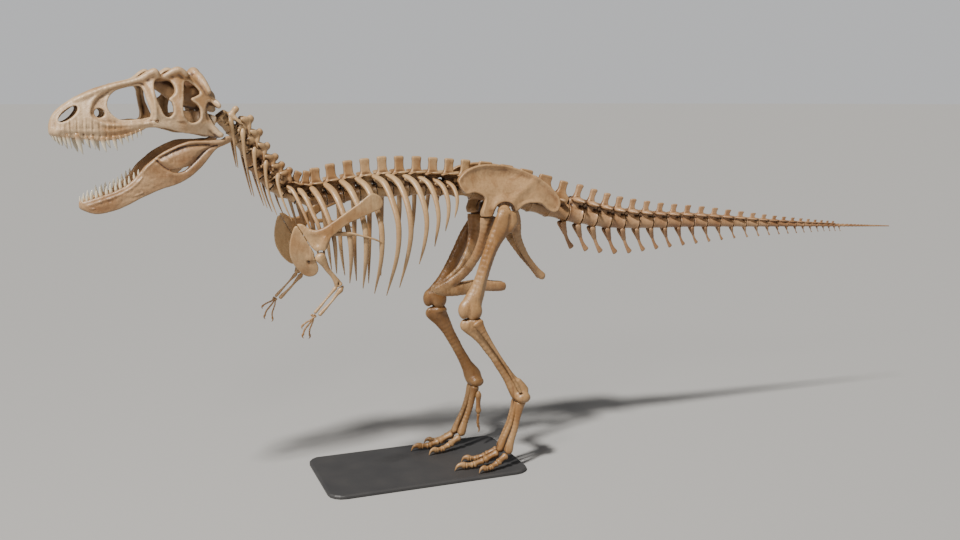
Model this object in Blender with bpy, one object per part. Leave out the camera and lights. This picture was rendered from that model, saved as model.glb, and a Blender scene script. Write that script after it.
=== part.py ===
"""Mounted skeleton of a large meat-eating dinosaur, mouth open, standing.

Metres, +Z up. The head points to -X and the animal's left side to -Y.
Lengths along the body are measured from the hip socket, heights from the floor.
"""
import math

import bmesh
import bpy
from mathutils import Matrix, Vector

LEFT = -1
RIGHT = 1
GAP = 0.0006                  # clear space between neighbouring bones
SOLE_RISE = 0.0003            # clear space between the soles and the base
FLAT_ANGLES = (11.0, 8.0, 6.0, 4.0, 3.0, 2.0, 1.0, 0.3)  # degrees: faces this close to one plane become one
VOLUME_SLACK = 0.01
TINY = 0.0001                 # points nearer than this are one
BODY_SHIFT = -0.625           # moves the hip socket so that the box is centred

# Stand under the feet, its top at the level of the soles.
BASE_THICK = 0.05
BASE_LONG = 2.70
BASE_WIDE = 1.50
BASE_CENTRE_X = -1.15
BASE_CORNER = 0.20
BASE_CORNER_STEPS = 4

# Backbone, from the skull to the end of the tail (x, y, z through the centra).
BACKBONE = ((-3.60, -0.165, 4.665), (-3.49, -0.125, 4.56), (-3.38, -0.095, 4.43), (-3.27, -0.07, 4.25),
            (-3.16, -0.05, 4.04), (-3.00, -0.03, 3.85), (-2.80, -0.012, 3.71), (-2.52, 0.0, 3.625),
            (-2.10, 0.0, 3.66), (-1.60, 0.0, 3.70), (-1.10, 0.0, 3.71), (-0.38, 0.0, 3.66),
            (0.25, 0.0, 3.53), (0.88, 0.0, 3.35), (1.28, 0.0, 3.255), (1.75, 0.0, 3.165),
            (2.40, 0.0, 3.115), (3.10, 0.0, 3.085), (4.36, 0.0, 3.00), (5.50, 0.0, 2.93), (6.66, 0.0, 2.865))
TRUNK_START = -2.52
SACRUM_START = -0.38
TAIL_START = 1.0
ATLAS = 0.07                  # length of the ring that carries the skull
NECK_COUNT = 10               # with the ring
NECK_FRONT_COUNT = 5
NECK_REAR_COUNT = 3
TRUNK_COUNT = 10
SACRAL_COUNT = 5
TAIL_COUNT = 45
TAIL_SPLITS = (0, 5, 12, 19, 28, 45)
EVEN_CAUDALS = 13             # tail vertebrae of one length
EVEN_CAUDAL = 0.222
FIRST_END_CAUDAL = 0.204      # the next one, where the tail starts to taper
CAUDAL_SHRINK = 0.93          # each end vertebra against the one before it
WINGED_CAUDALS = 16           # vertebrae with side processes
SPINED_CAUDALS = 24           # vertebrae with a spine above
CHEVRON_COUNT = 25            # bones below the tail joints
CENTRUM_SIDES = 8
TAIL_SIDES = 6
WAIST = 0.76                  # middle of a centrum against its ends
ARCH_HALF = 0.040             # half width of the arches above the centra
ARCH_JOINT_HALF = 0.072
ARCH_RISE = 0.055

# Tops of the spines: distance along the body, height. The neck has one for each vertebra after the ring.
NECK_TOPS = ((-3.36, 4.76), (-3.19, 4.65), (-3.09, 4.50), (-3.02, 4.37), (-2.94, 4.24), (-2.87, 4.13),
             (-2.77, 4.04), (-2.66, 3.99), (-2.53, 3.98))
SPINE_TOPS = ((-2.53, 3.98), (-2.36, 4.02), (-1.98, 4.10), (-1.40, 4.14), (-0.88, 4.11), (-0.17, 4.04),
              (0.43, 3.92), (0.93, 3.765), (1.14, 3.68), (1.35, 3.60), (1.77, 3.51), (2.21, 3.44), (2.64, 3.38),
              (3.36, 3.30), (4.01, 3.20), (4.75, 3.09), (5.30, 3.02), (6.7, 2.88))
TRUNK_LEAN = 0.03             # tops of the spines behind the middles of their vertebrae
SACRAL_LEAN = 0.09
TAIL_LEAN = 0.03

# Half height of the centra along the body.
CENTRUM_SIZES = ((-3.60, 0.070), (-3.20, 0.100), (-2.52, 0.108), (-1.10, 0.112), (-0.20, 0.125),
                 (0.88, 0.148), (1.35, 0.145), (1.80, 0.112), (2.40, 0.086), (3.10, 0.074),
                 (3.77, 0.056), (4.40, 0.040), (5.50, 0.022), (6.70, 0.008))
CHEVRON_DROPS = ((0.98, 0.36), (1.80, 0.35), (2.28, 0.30), (3.00, 0.24), (3.70, 0.17), (4.60, 0.11),
                 (5.40, 0.07))

# Ribs, counted from the front: lowest point, rearward sweep and bow, half width of the chest.
RIB_COUNT = 11
RIB_BOTTOMS = ((0, 2.92), (1, 2.76), (2, 2.63), (4, 2.47), (5, 2.43), (6, 2.52), (7, 2.81), (8, 3.02),
               (10, 3.36))
RIB_SWEEPS = ((0, 0.20), (1, 0.20), (3, 0.16), (5, 0.06), (7, 0.08), (10, 0.01))
RIB_BOWS = ((0, 0.14), (4, 0.15), (7, 0.14), (10, 0.04))
CHEST_HALVES = ((0, 0.50), (1, 0.59), (2, 0.66), (3, 0.69), (5, 0.70), (6, 0.68), (7, 0.60), (8, 0.52),
                (10, 0.38))
RIB_THICK = 0.022
RIB_WIDE = 0.034
PUBIC_JOINT = 3.332           # height at which the ilium and the pubis meet
SUTURE_AT = Vector((-2.685, 0, 3.215))      # joint of the shoulder blade and the coracoid
SUTURE_FACES = Vector((0.87, 0, 0.49))
CROSS_BAR_RIB = 3             # carries the pointed bar that crosses the next rib
# Neck ribs by the number of their vertebra: lowest point, rearward sweep and outward spread.
NECK_RIB_BOTTOMS = ((1, 4.05), (2, 3.70), (3, 3.56), (5, 3.47), (6, 3.40), (7, 3.16))
NECK_RIB_SWEEPS = ((1, 0.10), (2, 0.18), (3, 0.16), (5, 0.08), (6, 0.11), (7, 0.33))
RIBLESS_NECK = 4
NECK_RIB_SPREADS = ((1, 0.03), (5, 0.07), (6, 0.12), (7, 0.28))

# Head, in its own axes: u forward from the occiput, v to the animal's left, w up.
HEAD_AT = Vector((-3.605, -0.16, 4.703))
HEAD_TURN = math.radians(12)
ROOF_TOPS = ((0.08, 0.28), (0.20, 0.40), (0.45, 0.43), (0.60, 0.42), (0.75, 0.41), (0.94, 0.37), (1.145, 0.325),
             (1.35, 0.265), (1.54, 0.17), (1.69, 0.06), (1.785, -0.04), (1.833, -0.14))
ROOF_HALVES = ((0.08, 0.12), (0.45, 0.20), (0.75, 0.19), (0.94, 0.14), (1.35, 0.10), (1.69, 0.07), (1.833, 0.03))
CHEEK_HALVES = ((0.08, 0.29), (0.45, 0.32), (0.75, 0.28), (1.135, 0.215), (1.52, 0.155), (1.765, 0.11),
                (1.833, 0.06))
JAW_EDGES = ((0.08, -0.26), (0.30, -0.25), (0.53, -0.21), (0.69, -0.17), (0.85, -0.16), (1.00, -0.23),
             (1.155, -0.28), (1.31, -0.29), (1.64, -0.255), (1.765, -0.24), (1.833, -0.21))
SKULL_STATIONS = (0.08, 0.20, 0.34, 0.48, 0.62, 0.76, 0.91, 1.09, 1.28, 1.455, 1.61, 1.725, 1.805, 1.833)
SKULL_WALL = 0.055
UPPER_TEETH = 15
LONG_TEETH = 11               # the upper ones behind these shorten evenly
LOWER_TEETH = 13


def rows(table, at):
    """Straight-line reading of a table of (position, value) pairs."""
    if at <= table[0][0]:
        return table[0][1]
    for (p0, v0), (p1, v1) in zip(table, table[1:]):
        if at <= p1:
            return v0 + (v1 - v0) * (at - p0) / (p1 - p0)
    return table[-1][1]


class Line:
    """A smooth line through points, read by the distance along it."""

    def __init__(self, points, fine=12):
        points = [Vector(p) for p in points]
        ends = [points[0] * 2 - points[1]] + points + [points[-1] * 2 - points[-2]]
        self.dots = []
        for i in range(1, len(ends) - 2):
            a, b, c, d = ends[i - 1:i + 3]
            for k in range(fine):
                t = k / fine
                self.dots.append(0.5 * (2 * b + (c - a) * t + (2 * a - 5 * b + 4 * c - d) * t ** 2
                                        + (3 * b - a - 3 * c + d) * t ** 3))
        self.dots.append(points[-1])
        self.marks = [0.0]
        for a, b in zip(self.dots, self.dots[1:]):
            self.marks.append(self.marks[-1] + (b - a).length)
        self.length = self.marks[-1]

    def at(self, s):
        s = min(max(s, 0.0), self.length)
        for i in range(1, len(self.marks)):
            if s <= self.marks[i]:
                part = (s - self.marks[i - 1]) / max(self.marks[i] - self.marks[i - 1], 1e-9)
                return self.dots[i - 1].lerp(self.dots[i], part)
        return self.dots[-1].copy()

    def along(self, s):
        step = min(self.length * 0.01, 0.03)
        return (self.at(s + step) - self.at(s - step)).normalized()

    def reach(self, x):
        """Distance along the line at which it passes x."""
        for i, dot in enumerate(self.dots[1:]):
            if dot.x >= x:
                part = (x - self.dots[i].x) / (dot.x - self.dots[i].x)
                return self.marks[i] + (self.marks[i + 1] - self.marks[i]) * part
        return self.length


def loft(rings):
    """Closed body through rings of equal length."""
    bm = bmesh.new()
    made = [[bm.verts.new(p) for p in ring] for ring in rings]
    count = len(made[0])
    for r0, r1 in zip(made, made[1:]):
        for i in range(count):
            j = (i + 1) % count
            bm.faces.new((r0[i], r0[j], r1[j], r1[i]))
    bm.faces.new(made[0][::-1])
    bm.faces.new(made[-1])
    bmesh.ops.recalc_face_normals(bm, faces=bm.faces)
    if bm.calc_volume(signed=True) < 0:
        bmesh.ops.reverse_faces(bm, faces=bm.faces)
    return bm


def oval(centre, across, upward, wide, tall, sides, turn=0.5):
    ring = []
    for i in range(sides):
        angle = 2 * math.pi * (i + turn) / sides
        ring.append(centre + across * (wide * math.cos(angle)) + upward * (tall * math.sin(angle)))
    return ring


def limb(points, sizes, sides=6, across=(0, 1, 0), fine=None, turn=0.5):
    """Long bone along points. Each size is (half width across, half width the other way)."""
    line = Line(points)
    count = fine or len(sizes)
    rings = []
    for i in range(count):
        t = i / (count - 1)
        k = t * (len(sizes) - 1)
        low = min(int(k), len(sizes) - 2)
        wide = sizes[low][0] + (sizes[low + 1][0] - sizes[low][0]) * (k - low)
        tall = sizes[low][1] + (sizes[low + 1][1] - sizes[low][1]) * (k - low)
        ahead = line.along(line.length * t)
        side = Vector(across)
        side = (side - ahead * side.dot(ahead)).normalized()
        rings.append(oval(line.at(line.length * t), side, ahead.cross(side), wide, tall, sides, turn))
    return loft(rings)


def ball(centre, sizes, turns=8, bands=4):
    """Rounded boss with half sizes along x, y and z."""
    rings = []
    for i in range(bands + 1):
        angle = math.pi * (0.06 + 0.88 * i / bands)
        rings.append([centre + Vector((sizes[0] * math.sin(angle) * math.cos(2 * math.pi * k / turns),
                                       sizes[1] * math.sin(angle) * math.sin(2 * math.pi * k / turns),
                                       -sizes[2] * math.cos(angle))) for k in range(turns)])
    return loft(rings)


def prism(outline, place, near, far):
    """Body between two copies of a flat outline; place turns (a, b, depth) into a point."""
    return loft([[place(a, b, near) for a, b in outline], [place(a, b, far) for a, b in outline]])


def oval_outline(centre, wide, tall, tilt, sides=10):
    out = []
    for i in range(sides):
        angle = 2 * math.pi * i / sides
        a = wide * math.cos(angle)
        b = tall * math.sin(angle)
        out.append((centre[0] + a * math.cos(tilt) - b * math.sin(tilt),
                    centre[1] + a * math.sin(tilt) + b * math.cos(tilt)))
    return out


def helper(bm, name):
    mesh = bpy.data.meshes.new(name)
    bm.to_mesh(mesh)
    bm.free()
    made = bpy.data.objects.new(name, mesh)
    bpy.context.scene.collection.objects.link(made)
    made.hide_render = True
    made.display_type = "WIRE"
    return made


def is_closed(bm):
    """Every edge has two faces, and no two edges run between the same two points."""
    bm.verts.index_update()
    pairs = {frozenset(vert.index for vert in edge.verts) for edge in bm.edges}
    return len(pairs) == len(bm.edges) and all(len(edge.link_faces) == 2 for edge in bm.edges)


def combined(first, second, how):
    """Boolean of two bodies, by the first solver that leaves a closed body."""
    base = helper(first, "work")
    other = helper(second, "work_part")
    mod = base.modifiers.new("join", "BOOLEAN")
    mod.operation = how
    mod.object = other
    for solver in ("MANIFOLD", "EXACT"):
        mod.solver = solver
        graph = bpy.context.evaluated_depsgraph_get()
        shape = base.evaluated_get(graph)
        made = bmesh.new()
        made.from_mesh(shape.to_mesh())
        shape.to_mesh_clear()
        if is_closed(made):
            break
        bmesh.ops.remove_doubles(made, verts=made.verts, dist=TINY)
        bmesh.ops.dissolve_degenerate(made, edges=made.edges, dist=TINY)
        if is_closed(made):
            break
    bpy.data.objects.remove(base)
    bpy.data.objects.remove(other)
    return made


def joined(parts, how="UNION"):
    """The first part with each of the others joined to it or cut from it."""
    whole = parts[0]
    for part in parts[1:]:
        whole = combined(whole, part, how)
    return whole


def simplified(bm):
    """Triangles of a body, with nearly flat neighbours merged as far as the body stays whole."""
    volume = bm.calc_volume()
    for angle in FLAT_ANGLES:
        flat = bm.copy()
        bmesh.ops.dissolve_limit(flat, angle_limit=math.radians(angle), verts=flat.verts, edges=flat.edges)
        if not is_closed(flat):
            continue
        flat = triangles(flat)
        kept = abs(flat.calc_volume() - volume) < VOLUME_SLACK * volume
        if kept and is_closed(flat) and len(shells(flat)) == 1:
            return flat
    return triangles(bm)


def shells(bm):
    """Faces of each separate surface, the largest first."""
    seen = set()
    found = []
    for face in bm.faces:
        if face in seen:
            continue
        todo = [face]
        seen.add(face)
        shell = []
        while todo:
            shell.append(todo.pop())
            for edge in shell[-1].edges:
                for other in edge.link_faces:
                    if other not in seen:
                        seen.add(other)
                        todo.append(other)
        found.append(shell)
    return sorted(found, key=len, reverse=True)


def without_chips(bm):
    """The body without small loose pieces left by cutting."""
    chips = [face for shell in shells(bm)[1:] for face in shell]
    bmesh.ops.delete(bm, geom=chips, context="FACES")
    return bm


def triangles(bm):
    """Splits the faces into triangles, by the way that leaves the body closed."""
    ways = (("BEAUTY", "BEAUTY"), ("FIXED", "EAR_CLIP"), ("BEAUTY", "EAR_CLIP"), ("ALTERNATE", "BEAUTY"))
    for quads, others in ways:
        trial = bm.copy()
        bmesh.ops.triangulate(trial, faces=trial.faces[:], quad_method=quads, ngon_method=others)
        if is_closed(trial):
            break
    bm.free()
    return trial


def trimmed(bm, point, keep):
    """Body cut by the plane through point; the side that keep points to stays."""
    geom = bm.verts[:] + bm.edges[:] + bm.faces[:]
    cut = bmesh.ops.bisect_plane(bm, geom=geom, plane_co=point, plane_no=keep, clear_inner=True)
    edges = [e for e in cut["geom_cut"] if isinstance(e, bmesh.types.BMEdge)]
    bmesh.ops.holes_fill(bm, edges=[e for e in edges if e.is_boundary])
    bmesh.ops.recalc_face_normals(bm, faces=bm.faces)
    return bm


def material(name, colour, rough):
    mat = bpy.data.materials.new(name)
    mat.use_nodes = True
    shader = mat.node_tree.nodes["Principled BSDF"]
    shader.inputs["Base Color"].default_value = (*colour, 1.0)
    shader.inputs["Roughness"].default_value = rough
    return mat


TONES = {"ivory": (0.72, 0.58, 0.38), "tan": (0.62, 0.44, 0.26), "ochre": (0.56, 0.36, 0.18),
         "charcoal": (0.035, 0.035, 0.038)}
MADE = []


def node(name, bm, tone="tan"):
    """Finished bone under its own name, with its own material."""
    bm = simplified(without_chips(bm))
    bmesh.ops.translate(bm, verts=bm.verts, vec=(BODY_SHIFT, 0, BASE_THICK))
    mesh = bpy.data.meshes.new(name)
    bm.to_mesh(mesh)
    bm.free()
    mesh.polygons.foreach_set("use_smooth", [True] * len(mesh.polygons))
    made = bpy.data.objects.new(name, mesh)
    mesh.materials.append(material(name + ("_paint" if tone == "charcoal" else "_bone"), TONES[tone], 0.55))
    bpy.context.scene.collection.objects.link(made)
    MADE.append(made)
    return made


def centra(line, marks, sides):
    """Row of waisted centra as one rounded bar, with its ends at the first and last marks."""
    rings = []
    for i, mark in enumerate(marks):
        s = mark
        if i == 0:
            s += GAP / 2
        if i == len(marks) - 1:
            s -= GAP / 2
        places = [(s, 1.0)]
        if i < len(marks) - 1:
            places.append(((mark + marks[i + 1]) / 2, WAIST))
        for spot, scale in places:
            centre = line.at(spot)
            ahead = line.along(spot)
            size = rows(CENTRUM_SIZES, centre.x) * scale
            across = Vector((0, 1, 0)) - ahead * ahead.y
            across.normalize()
            rings.append(oval(centre, across, ahead.cross(across), size, size, sides))
    return loft(rings)


def arch_bar(line, marks):
    """Row of joined neural arches: widest at the joints, where the facets meet."""
    rings = []
    spots = [marks[0] + GAP / 2]
    for a, b in zip(marks, marks[1:]):
        spots += [(a + b) / 2, b]
    spots[-1] -= GAP / 2
    for i, spot in enumerate(spots):
        centre = line.at(spot)
        ahead = line.along(spot)
        across = Vector((0, 1, 0)) - ahead * ahead.y
        across.normalize()
        upward = ahead.cross(across)
        size = rows(CENTRUM_SIZES, centre.x)
        wide = ARCH_JOINT_HALF if i % 2 == 0 else ARCH_HALF
        low = centre + upward * size * 0.55
        high = centre + upward * (size + ARCH_RISE)
        rings.append([low - across * wide, low + across * wide, high + across * wide * 0.8,
                      high - across * wide * 0.8])
    return loft(rings)


def even_marks(start, end, count):
    return [start + (end - start) * i / count for i in range(count + 1)]


def plate(foot, tip, long_foot, long_tip, thick, ahead):
    """Spine above a vertebra: a thin upright blade from foot to tip."""
    side = Vector((0, 1, 0))
    rings = []
    for spot, size, slim in ((foot, long_foot, 1.0), (tip, long_tip, 0.85)):
        rings.append([spot - ahead * size - side * thick * slim, spot + ahead * size - side * thick * slim,
                      spot + ahead * size + side * thick * slim, spot - ahead * size + side * thick * slim])
    return loft(rings)


def head_point(u, v, w):
    forward = Vector((-math.cos(HEAD_TURN), -math.sin(HEAD_TURN), 0))
    left = Vector((math.sin(HEAD_TURN), -math.cos(HEAD_TURN), 0))
    return HEAD_AT + forward * u + left * v + Vector((0, 0, w))


def tooth(root, length, half, lean, side):
    """Curved pointed tooth hanging from or rising from root, in head axes."""
    rings = []
    for part, size in ((-0.25, 1.0), (0.50, 0.74), (1.0, 0.12)):
        u = root[0] + lean * part ** 2 * abs(length)
        v = root[1] + side * 0.05 * part * abs(length)
        w = root[2] + length * part
        rings.append([head_point(u + half * size * a, v + half * 0.62 * size * b, w)
                      for a, b in ((-1, -1), (1, -1), (1, 1), (-1, 1))])
    return loft(rings)


def skull():
    def section(u, shrink, drop):
        top = rows(ROOF_TOPS, u) - shrink
        roof = max(rows(ROOF_HALVES, u) - shrink * 0.7, 0.012)
        cheek = max(rows(CHEEK_HALVES, u) - shrink, 0.02)
        low = rows(JAW_EDGES, u) + drop
        middle = low + (top - low) * 0.42
        high = low + (top - low) * 0.84
        half = [(roof * 0.55, top), (roof, top - 0.025 + shrink * 0.3), ((roof + cheek) * 0.52, high),
                (cheek, middle), (cheek * 0.97, low)]
        ring = [head_point(u, v, w) for v, w in half]
        ring += [head_point(u, -v, w) for v, w in reversed(half)]
        return ring

    outer = loft([section(u, 0.0, 0.0) for u in SKULL_STATIONS])
    inner_stations = (0.03, 0.20, 0.48, 0.76, 1.00, 1.28, 1.52, 1.685)
    inner = loft([section(u, SKULL_WALL, 0.07 if u > 0.9 else -0.08) for u in inner_stations])

    def opening(outline):
        return prism(outline, lambda a, b, d: head_point(a, d, b), -0.5, 0.5)

    nostril = oval_outline((1.645, -0.01), 0.135, 0.048, math.radians(-38))
    small_window = oval_outline((1.34, 0.00), 0.055, 0.055, 0.0, 8)
    great_window = [(1.25, 0.09), (1.195, 0.20), (1.07, 0.27), (0.92, 0.29), (0.86, 0.27), (0.83, 0.12),
                    (0.80, -0.01), (0.86, -0.075), (1.105, -0.075), (1.215, 0.00)]
    eye = [(0.73, 0.35), (0.60, 0.36), (0.53, 0.28), (0.55, 0.20), (0.60, 0.15), (0.57, 0.10), (0.57, 0.03),
           (0.63, -0.05), (0.69, 0.00), (0.74, 0.12), (0.77, 0.25)]
    rear_window = [(0.41, 0.33), (0.32, 0.29), (0.25, 0.22), (0.37, 0.15), (0.28, 0.02), (0.30, -0.08),
                   (0.38, -0.12), (0.46, -0.06), (0.49, 0.04), (0.46, 0.19)]
    cheek_notch = [(-0.2, 0.06), (0.17, 0.11), (0.22, 0.04), (0.20, -0.11), (0.15, -0.18), (-0.2, -0.23)]
    cutters = [inner]
    for outline in (nostril, small_window, great_window, eye, rear_window, cheek_notch):
        cutters.append(opening(outline))
    for v in (-0.105, 0.105):
        roof_window = oval_outline((0.36, v), 0.085, 0.05, 0.0, 8)
        cutters.append(prism(roof_window, lambda a, b, d: head_point(a, b, d), 0.2, 0.7))
    shell = joined([outer] + cutters, "DIFFERENCE")

    parts = [shell]
    # braincase, from the condyle forward under the roof
    case = [oval(head_point(u, 0, w), head_point(0, 1, 0) - head_point(0, 0, 0), Vector((0, 0, 1)), h, t, 8)
            for u, w, h, t in ((0.07, 0.10, 0.075, 0.10), (0.22, 0.16, 0.11, 0.22), (0.50, 0.22, 0.08, 0.18),
                               (0.66, 0.30, 0.05, 0.10))]
    parts.append(loft(case))
    parts.append(ball(head_point(0.065, 0, 0.02), (0.055, 0.05, 0.045)))
    # floor of the braincase running forward to the palate
    parts.append(limb([head_point(0.16, 0, 0.02), head_point(0.60, 0, -0.02), head_point(1.09, 0, -0.18)],
                      [(0.05, 0.05), (0.035, 0.05), (0.05, 0.04)], 6))
    # crest across the back of the head
    for s in (-1, 1):
        parts.append(limb([head_point(0.24, -s * 0.03, 0.440), head_point(0.25, s * 0.09, 0.455),
                           head_point(0.22, s * 0.20, 0.335)],
                          [(0.035, 0.08), (0.035, 0.075), (0.035, 0.05)], 6, across=(1, 0, 0)))
        parts.append(limb([head_point(0.16, s * 0.03, 0.14), head_point(0.10, s * 0.17, 0.13),
                           head_point(0.03, s * 0.28, 0.06)],
                          [(0.03, 0.07), (0.03, 0.06), (0.03, 0.05)], 6, across=(1, 0, 0)))
        parts.append(ball(head_point(0.77, s * 0.20, 0.40), (0.070, 0.040, 0.065), 6))
        parts.append(ball(head_point(0.515, s * 0.205, 0.41), (0.080, 0.038, 0.06), 6))
        # foot of the quadrate, which carries the jaw
        parts.append(limb([head_point(0.22, s * 0.275, 0.02), head_point(0.17, s * 0.28, -0.14),
                           head_point(0.09, s * 0.285, -0.255)],
                          [(0.035, 0.045), (0.035, 0.045), (0.055, 0.05)], 6, across=(0, 1, 0)))
        for i in range(UPPER_TEETH):
            u = 1.795 - 0.064 * i
            row = rows(CHEEK_HALVES, u) - 0.028
            low = rows(JAW_EDGES, u)
            if i < LONG_TEETH:
                length = 0.085 + 0.065 * math.sin(math.pi * min(i / 8.0, 1.6))
            else:
                length = 0.105 - 0.02 * (i - LONG_TEETH)
            parts.append(tooth((u, s * row, low + 0.004), -length, 0.023 - 0.0006 * i, -0.10, s))
    return joined(parts)


def jaw(side):
    """One half of the open lower jaw."""
    reach = (-0.08, 0.02, 0.12, 0.26, 0.42, 0.58, 0.755, 0.92, 1.09, 1.255, 1.405, 1.515, 1.57)
    tops = ((-0.08, -0.285), (0.02, -0.30), (0.12, -0.325), (0.26, -0.315), (0.47, -0.325), (0.64, -0.40),
            (0.785, -0.49), (0.92, -0.63), (1.08, -0.79), (1.23, -0.86), (1.46, -0.94), (1.57, -0.98))
    lows = ((-0.08, -0.325), (0.02, -0.38), (0.12, -0.42), (0.24, -0.56), (0.39, -0.70), (0.56, -0.79),
            (0.755, -0.855), (0.97, -0.945), (1.18, -1.05), (1.365, -1.09), (1.47, -1.085), (1.57, -1.02))
    halves = ((-0.08, 0.27), (0.10, 0.285), (0.42, 0.27), (0.755, 0.215), (1.09, 0.16), (1.405, 0.095),
              (1.57, 0.045))
    thicks = ((-0.08, 0.020), (0.10, 0.045), (0.42, 0.028), (0.92, 0.030), (1.405, 0.034), (1.57, 0.026))
    rings = []
    for u in reach:
        v = rows(halves, u)
        t = rows(thicks, u)
        top = rows(tops, u)
        low = rows(lows, u)
        deep = top - low
        ring = []
        for out, part in ((0.5, 0.0), (1.0, 0.22), (0.9, 0.75), (0.45, 1.0), (-0.45, 1.0), (-0.8, 0.6),
                          (-0.8, 0.2), (-0.4, 0.0)):
            ring.append(head_point(u, side * max(v + t * out, GAP), top - deep * part))
        rings.append(ring)
    parts = [loft(rings)]
    for i in range(LOWER_TEETH):
        u = 1.535 - 0.049 * i
        length = 0.07 + 0.035 * math.sin(math.pi * i / (LOWER_TEETH - 1))
        parts.append(tooth((u, side * rows(halves, u), rows(tops, u) - 0.004), length, 0.019, -0.10, side))
    return joined(parts)


def neck(line, marks, first):
    """Vertebrae of the neck from number first, each with its pair of slender hanging ribs."""
    parts = [centra(line, marks, CENTRUM_SIDES), arch_bar(line, marks)]
    for i in range(len(marks) - 1):
        number = first + i
        if number == 0:
            continue
        middle = (marks[i] + marks[i + 1]) / 2
        centre = line.at(middle)
        ahead = line.along(middle)
        size = rows(CENTRUM_SIZES, centre.x)
        up = ahead.cross(Vector((0, 1, 0)))
        top = Vector((NECK_TOPS[number - 1][0], centre.y, NECK_TOPS[number - 1][1]))
        stout = 1.5 if number < 3 else 1.0
        blade = plate(centre + up * size * 0.8, top, 0.042, 0.028 * stout, 0.022 * stout, ahead)
        blade = trimmed(blade, line.at(marks[0] + GAP), line.along(marks[0]))
        parts.append(trimmed(blade, line.at(marks[-1] - GAP), -line.along(marks[-1])))
        if number == RIBLESS_NECK:
            continue
        for s in (LEFT, RIGHT):
            root = centre + Vector((0, s * size * 0.4, 0.02))
            knee = centre + ahead * 0.01 + Vector((0, s * (size + 0.08), 0)) + up * 0.02
            spread = s * rows(NECK_RIB_SPREADS, number)
            end = Vector((centre.x + rows(NECK_RIB_SWEEPS, number), knee.y + spread,
                          rows(NECK_RIB_BOTTOMS, number)))
            bend = knee.lerp(end, 0.45) + Vector((-0.02, spread * 0.25, 0))
            parts.append(limb([root, knee, bend, end],
                              [(0.024, 0.034), (0.020, 0.030), (0.012, 0.018), (0.004, 0.005)], 4))
    return joined(parts)


def trunk(line, stops, side):
    """One side of the trunk: half of each vertebra and that side's ribs."""
    front = len(stops) - 1 - TRUNK_COUNT
    column = [centra(line, stops, CENTRUM_SIDES), arch_bar(line, stops)]
    ribs = []
    for i in range(front + TRUNK_COUNT):
        centre = line.at((stops[i] + stops[i + 1]) / 2)
        size = rows(CENTRUM_SIZES, centre.x)
        if i < front:
            top = Vector((NECK_TOPS[i - front][0], 0, NECK_TOPS[i - front][1]))
        else:
            top = Vector((centre.x + TRUNK_LEAN, 0, rows(SPINE_TOPS, centre.x + TRUNK_LEAN)))
        column.append(plate(centre + Vector((0, 0, size)), top, 0.070, 0.062, 0.024, Vector((1, 0, 0))))
        if i >= RIB_COUNT:
            continue
        wing = centre + Vector((0.04, side * (0.22 - 0.06 * (i > 8)), size + 0.12))
        bottom = rows(RIB_BOTTOMS, i)
        half = rows(CHEST_HALVES, i)
        bow = rows(RIB_BOWS, i)
        sweep = rows(RIB_SWEEPS, i)
        drop = wing.z - bottom
        path = [Vector((wing.x - 0.02, side * 0.02, centre.z + size + 0.04)), wing,
                Vector((wing.x + bow * 0.5, side * half * 0.80, wing.z - drop * 0.15)),
                Vector((wing.x + bow, side * half, wing.z - drop * 0.42)),
                Vector((wing.x + (bow + sweep) / 2 + 0.01, side * half * 0.93, wing.z - drop * 0.74)),
                Vector((wing.x + sweep, side * half * 0.70, bottom))]
        widths = [(0.046, 0.022), (0.040, 0.022), (RIB_WIDE, RIB_THICK), (RIB_WIDE, RIB_THICK),
                  (0.026, 0.016), (0.006, 0.006)]
        ribs.append(limb(path, widths, 4, fine=7, across=(1, 0, 0), turn=0))
        if i == CROSS_BAR_RIB:
            start = path[3].lerp(path[4], 0.30)
            ribs.append(limb([start, start + Vector((0.34, side * 0.05, -0.10))],
                             [(0.020, 0.030), (0.004, 0.006)], 4, turn=0))
    column = [trimmed(bm, (0, side * GAP / 2, 0), (0, side, 0)) for bm in column]
    whole = [trimmed(bm, line.at(stops[0] + GAP / 2), line.along(stops[0])) for bm in column + ribs]
    return joined(whole)


def sacrum(line, marks):
    parts = [centra(line, marks, CENTRUM_SIDES)]
    for i in range(len(marks) - 1):
        middle = (marks[i] + marks[i + 1]) / 2
        centre = line.at(middle)
        size = rows(CENTRUM_SIZES, centre.x)
        slim = 0.8 if i == len(marks) - 2 else 1.0
        top = Vector((centre.x + SACRAL_LEAN, 0, rows(SPINE_TOPS, centre.x + SACRAL_LEAN)))
        parts.append(plate(centre + Vector((0.02, 0, size * 0.4)), top, 0.110 * slim, 0.100 * slim, 0.024,
                           Vector((1, 0, 0))))
        parts.append(limb([centre + Vector((0, -0.145, 0.06)), centre + Vector((0, 0, 0.10)),
                           centre + Vector((0, 0.145, 0.06))],
                          [(0.07, 0.045), (0.06, 0.05), (0.07, 0.045)], 6, across=(1, 0, 0)))
    return joined(parts)


def caudal_marks(line):
    marks = [0.0]
    for i in range(TAIL_COUNT):
        if i < EVEN_CAUDALS:
            step = EVEN_CAUDAL
        else:
            step = FIRST_END_CAUDAL * CAUDAL_SHRINK ** (i - EVEN_CAUDALS)
        marks.append(marks[-1] + step)
    start = line.reach(TAIL_START)
    scale = (line.length - start) / marks[-1]
    return [start + m * scale for m in marks]


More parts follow.
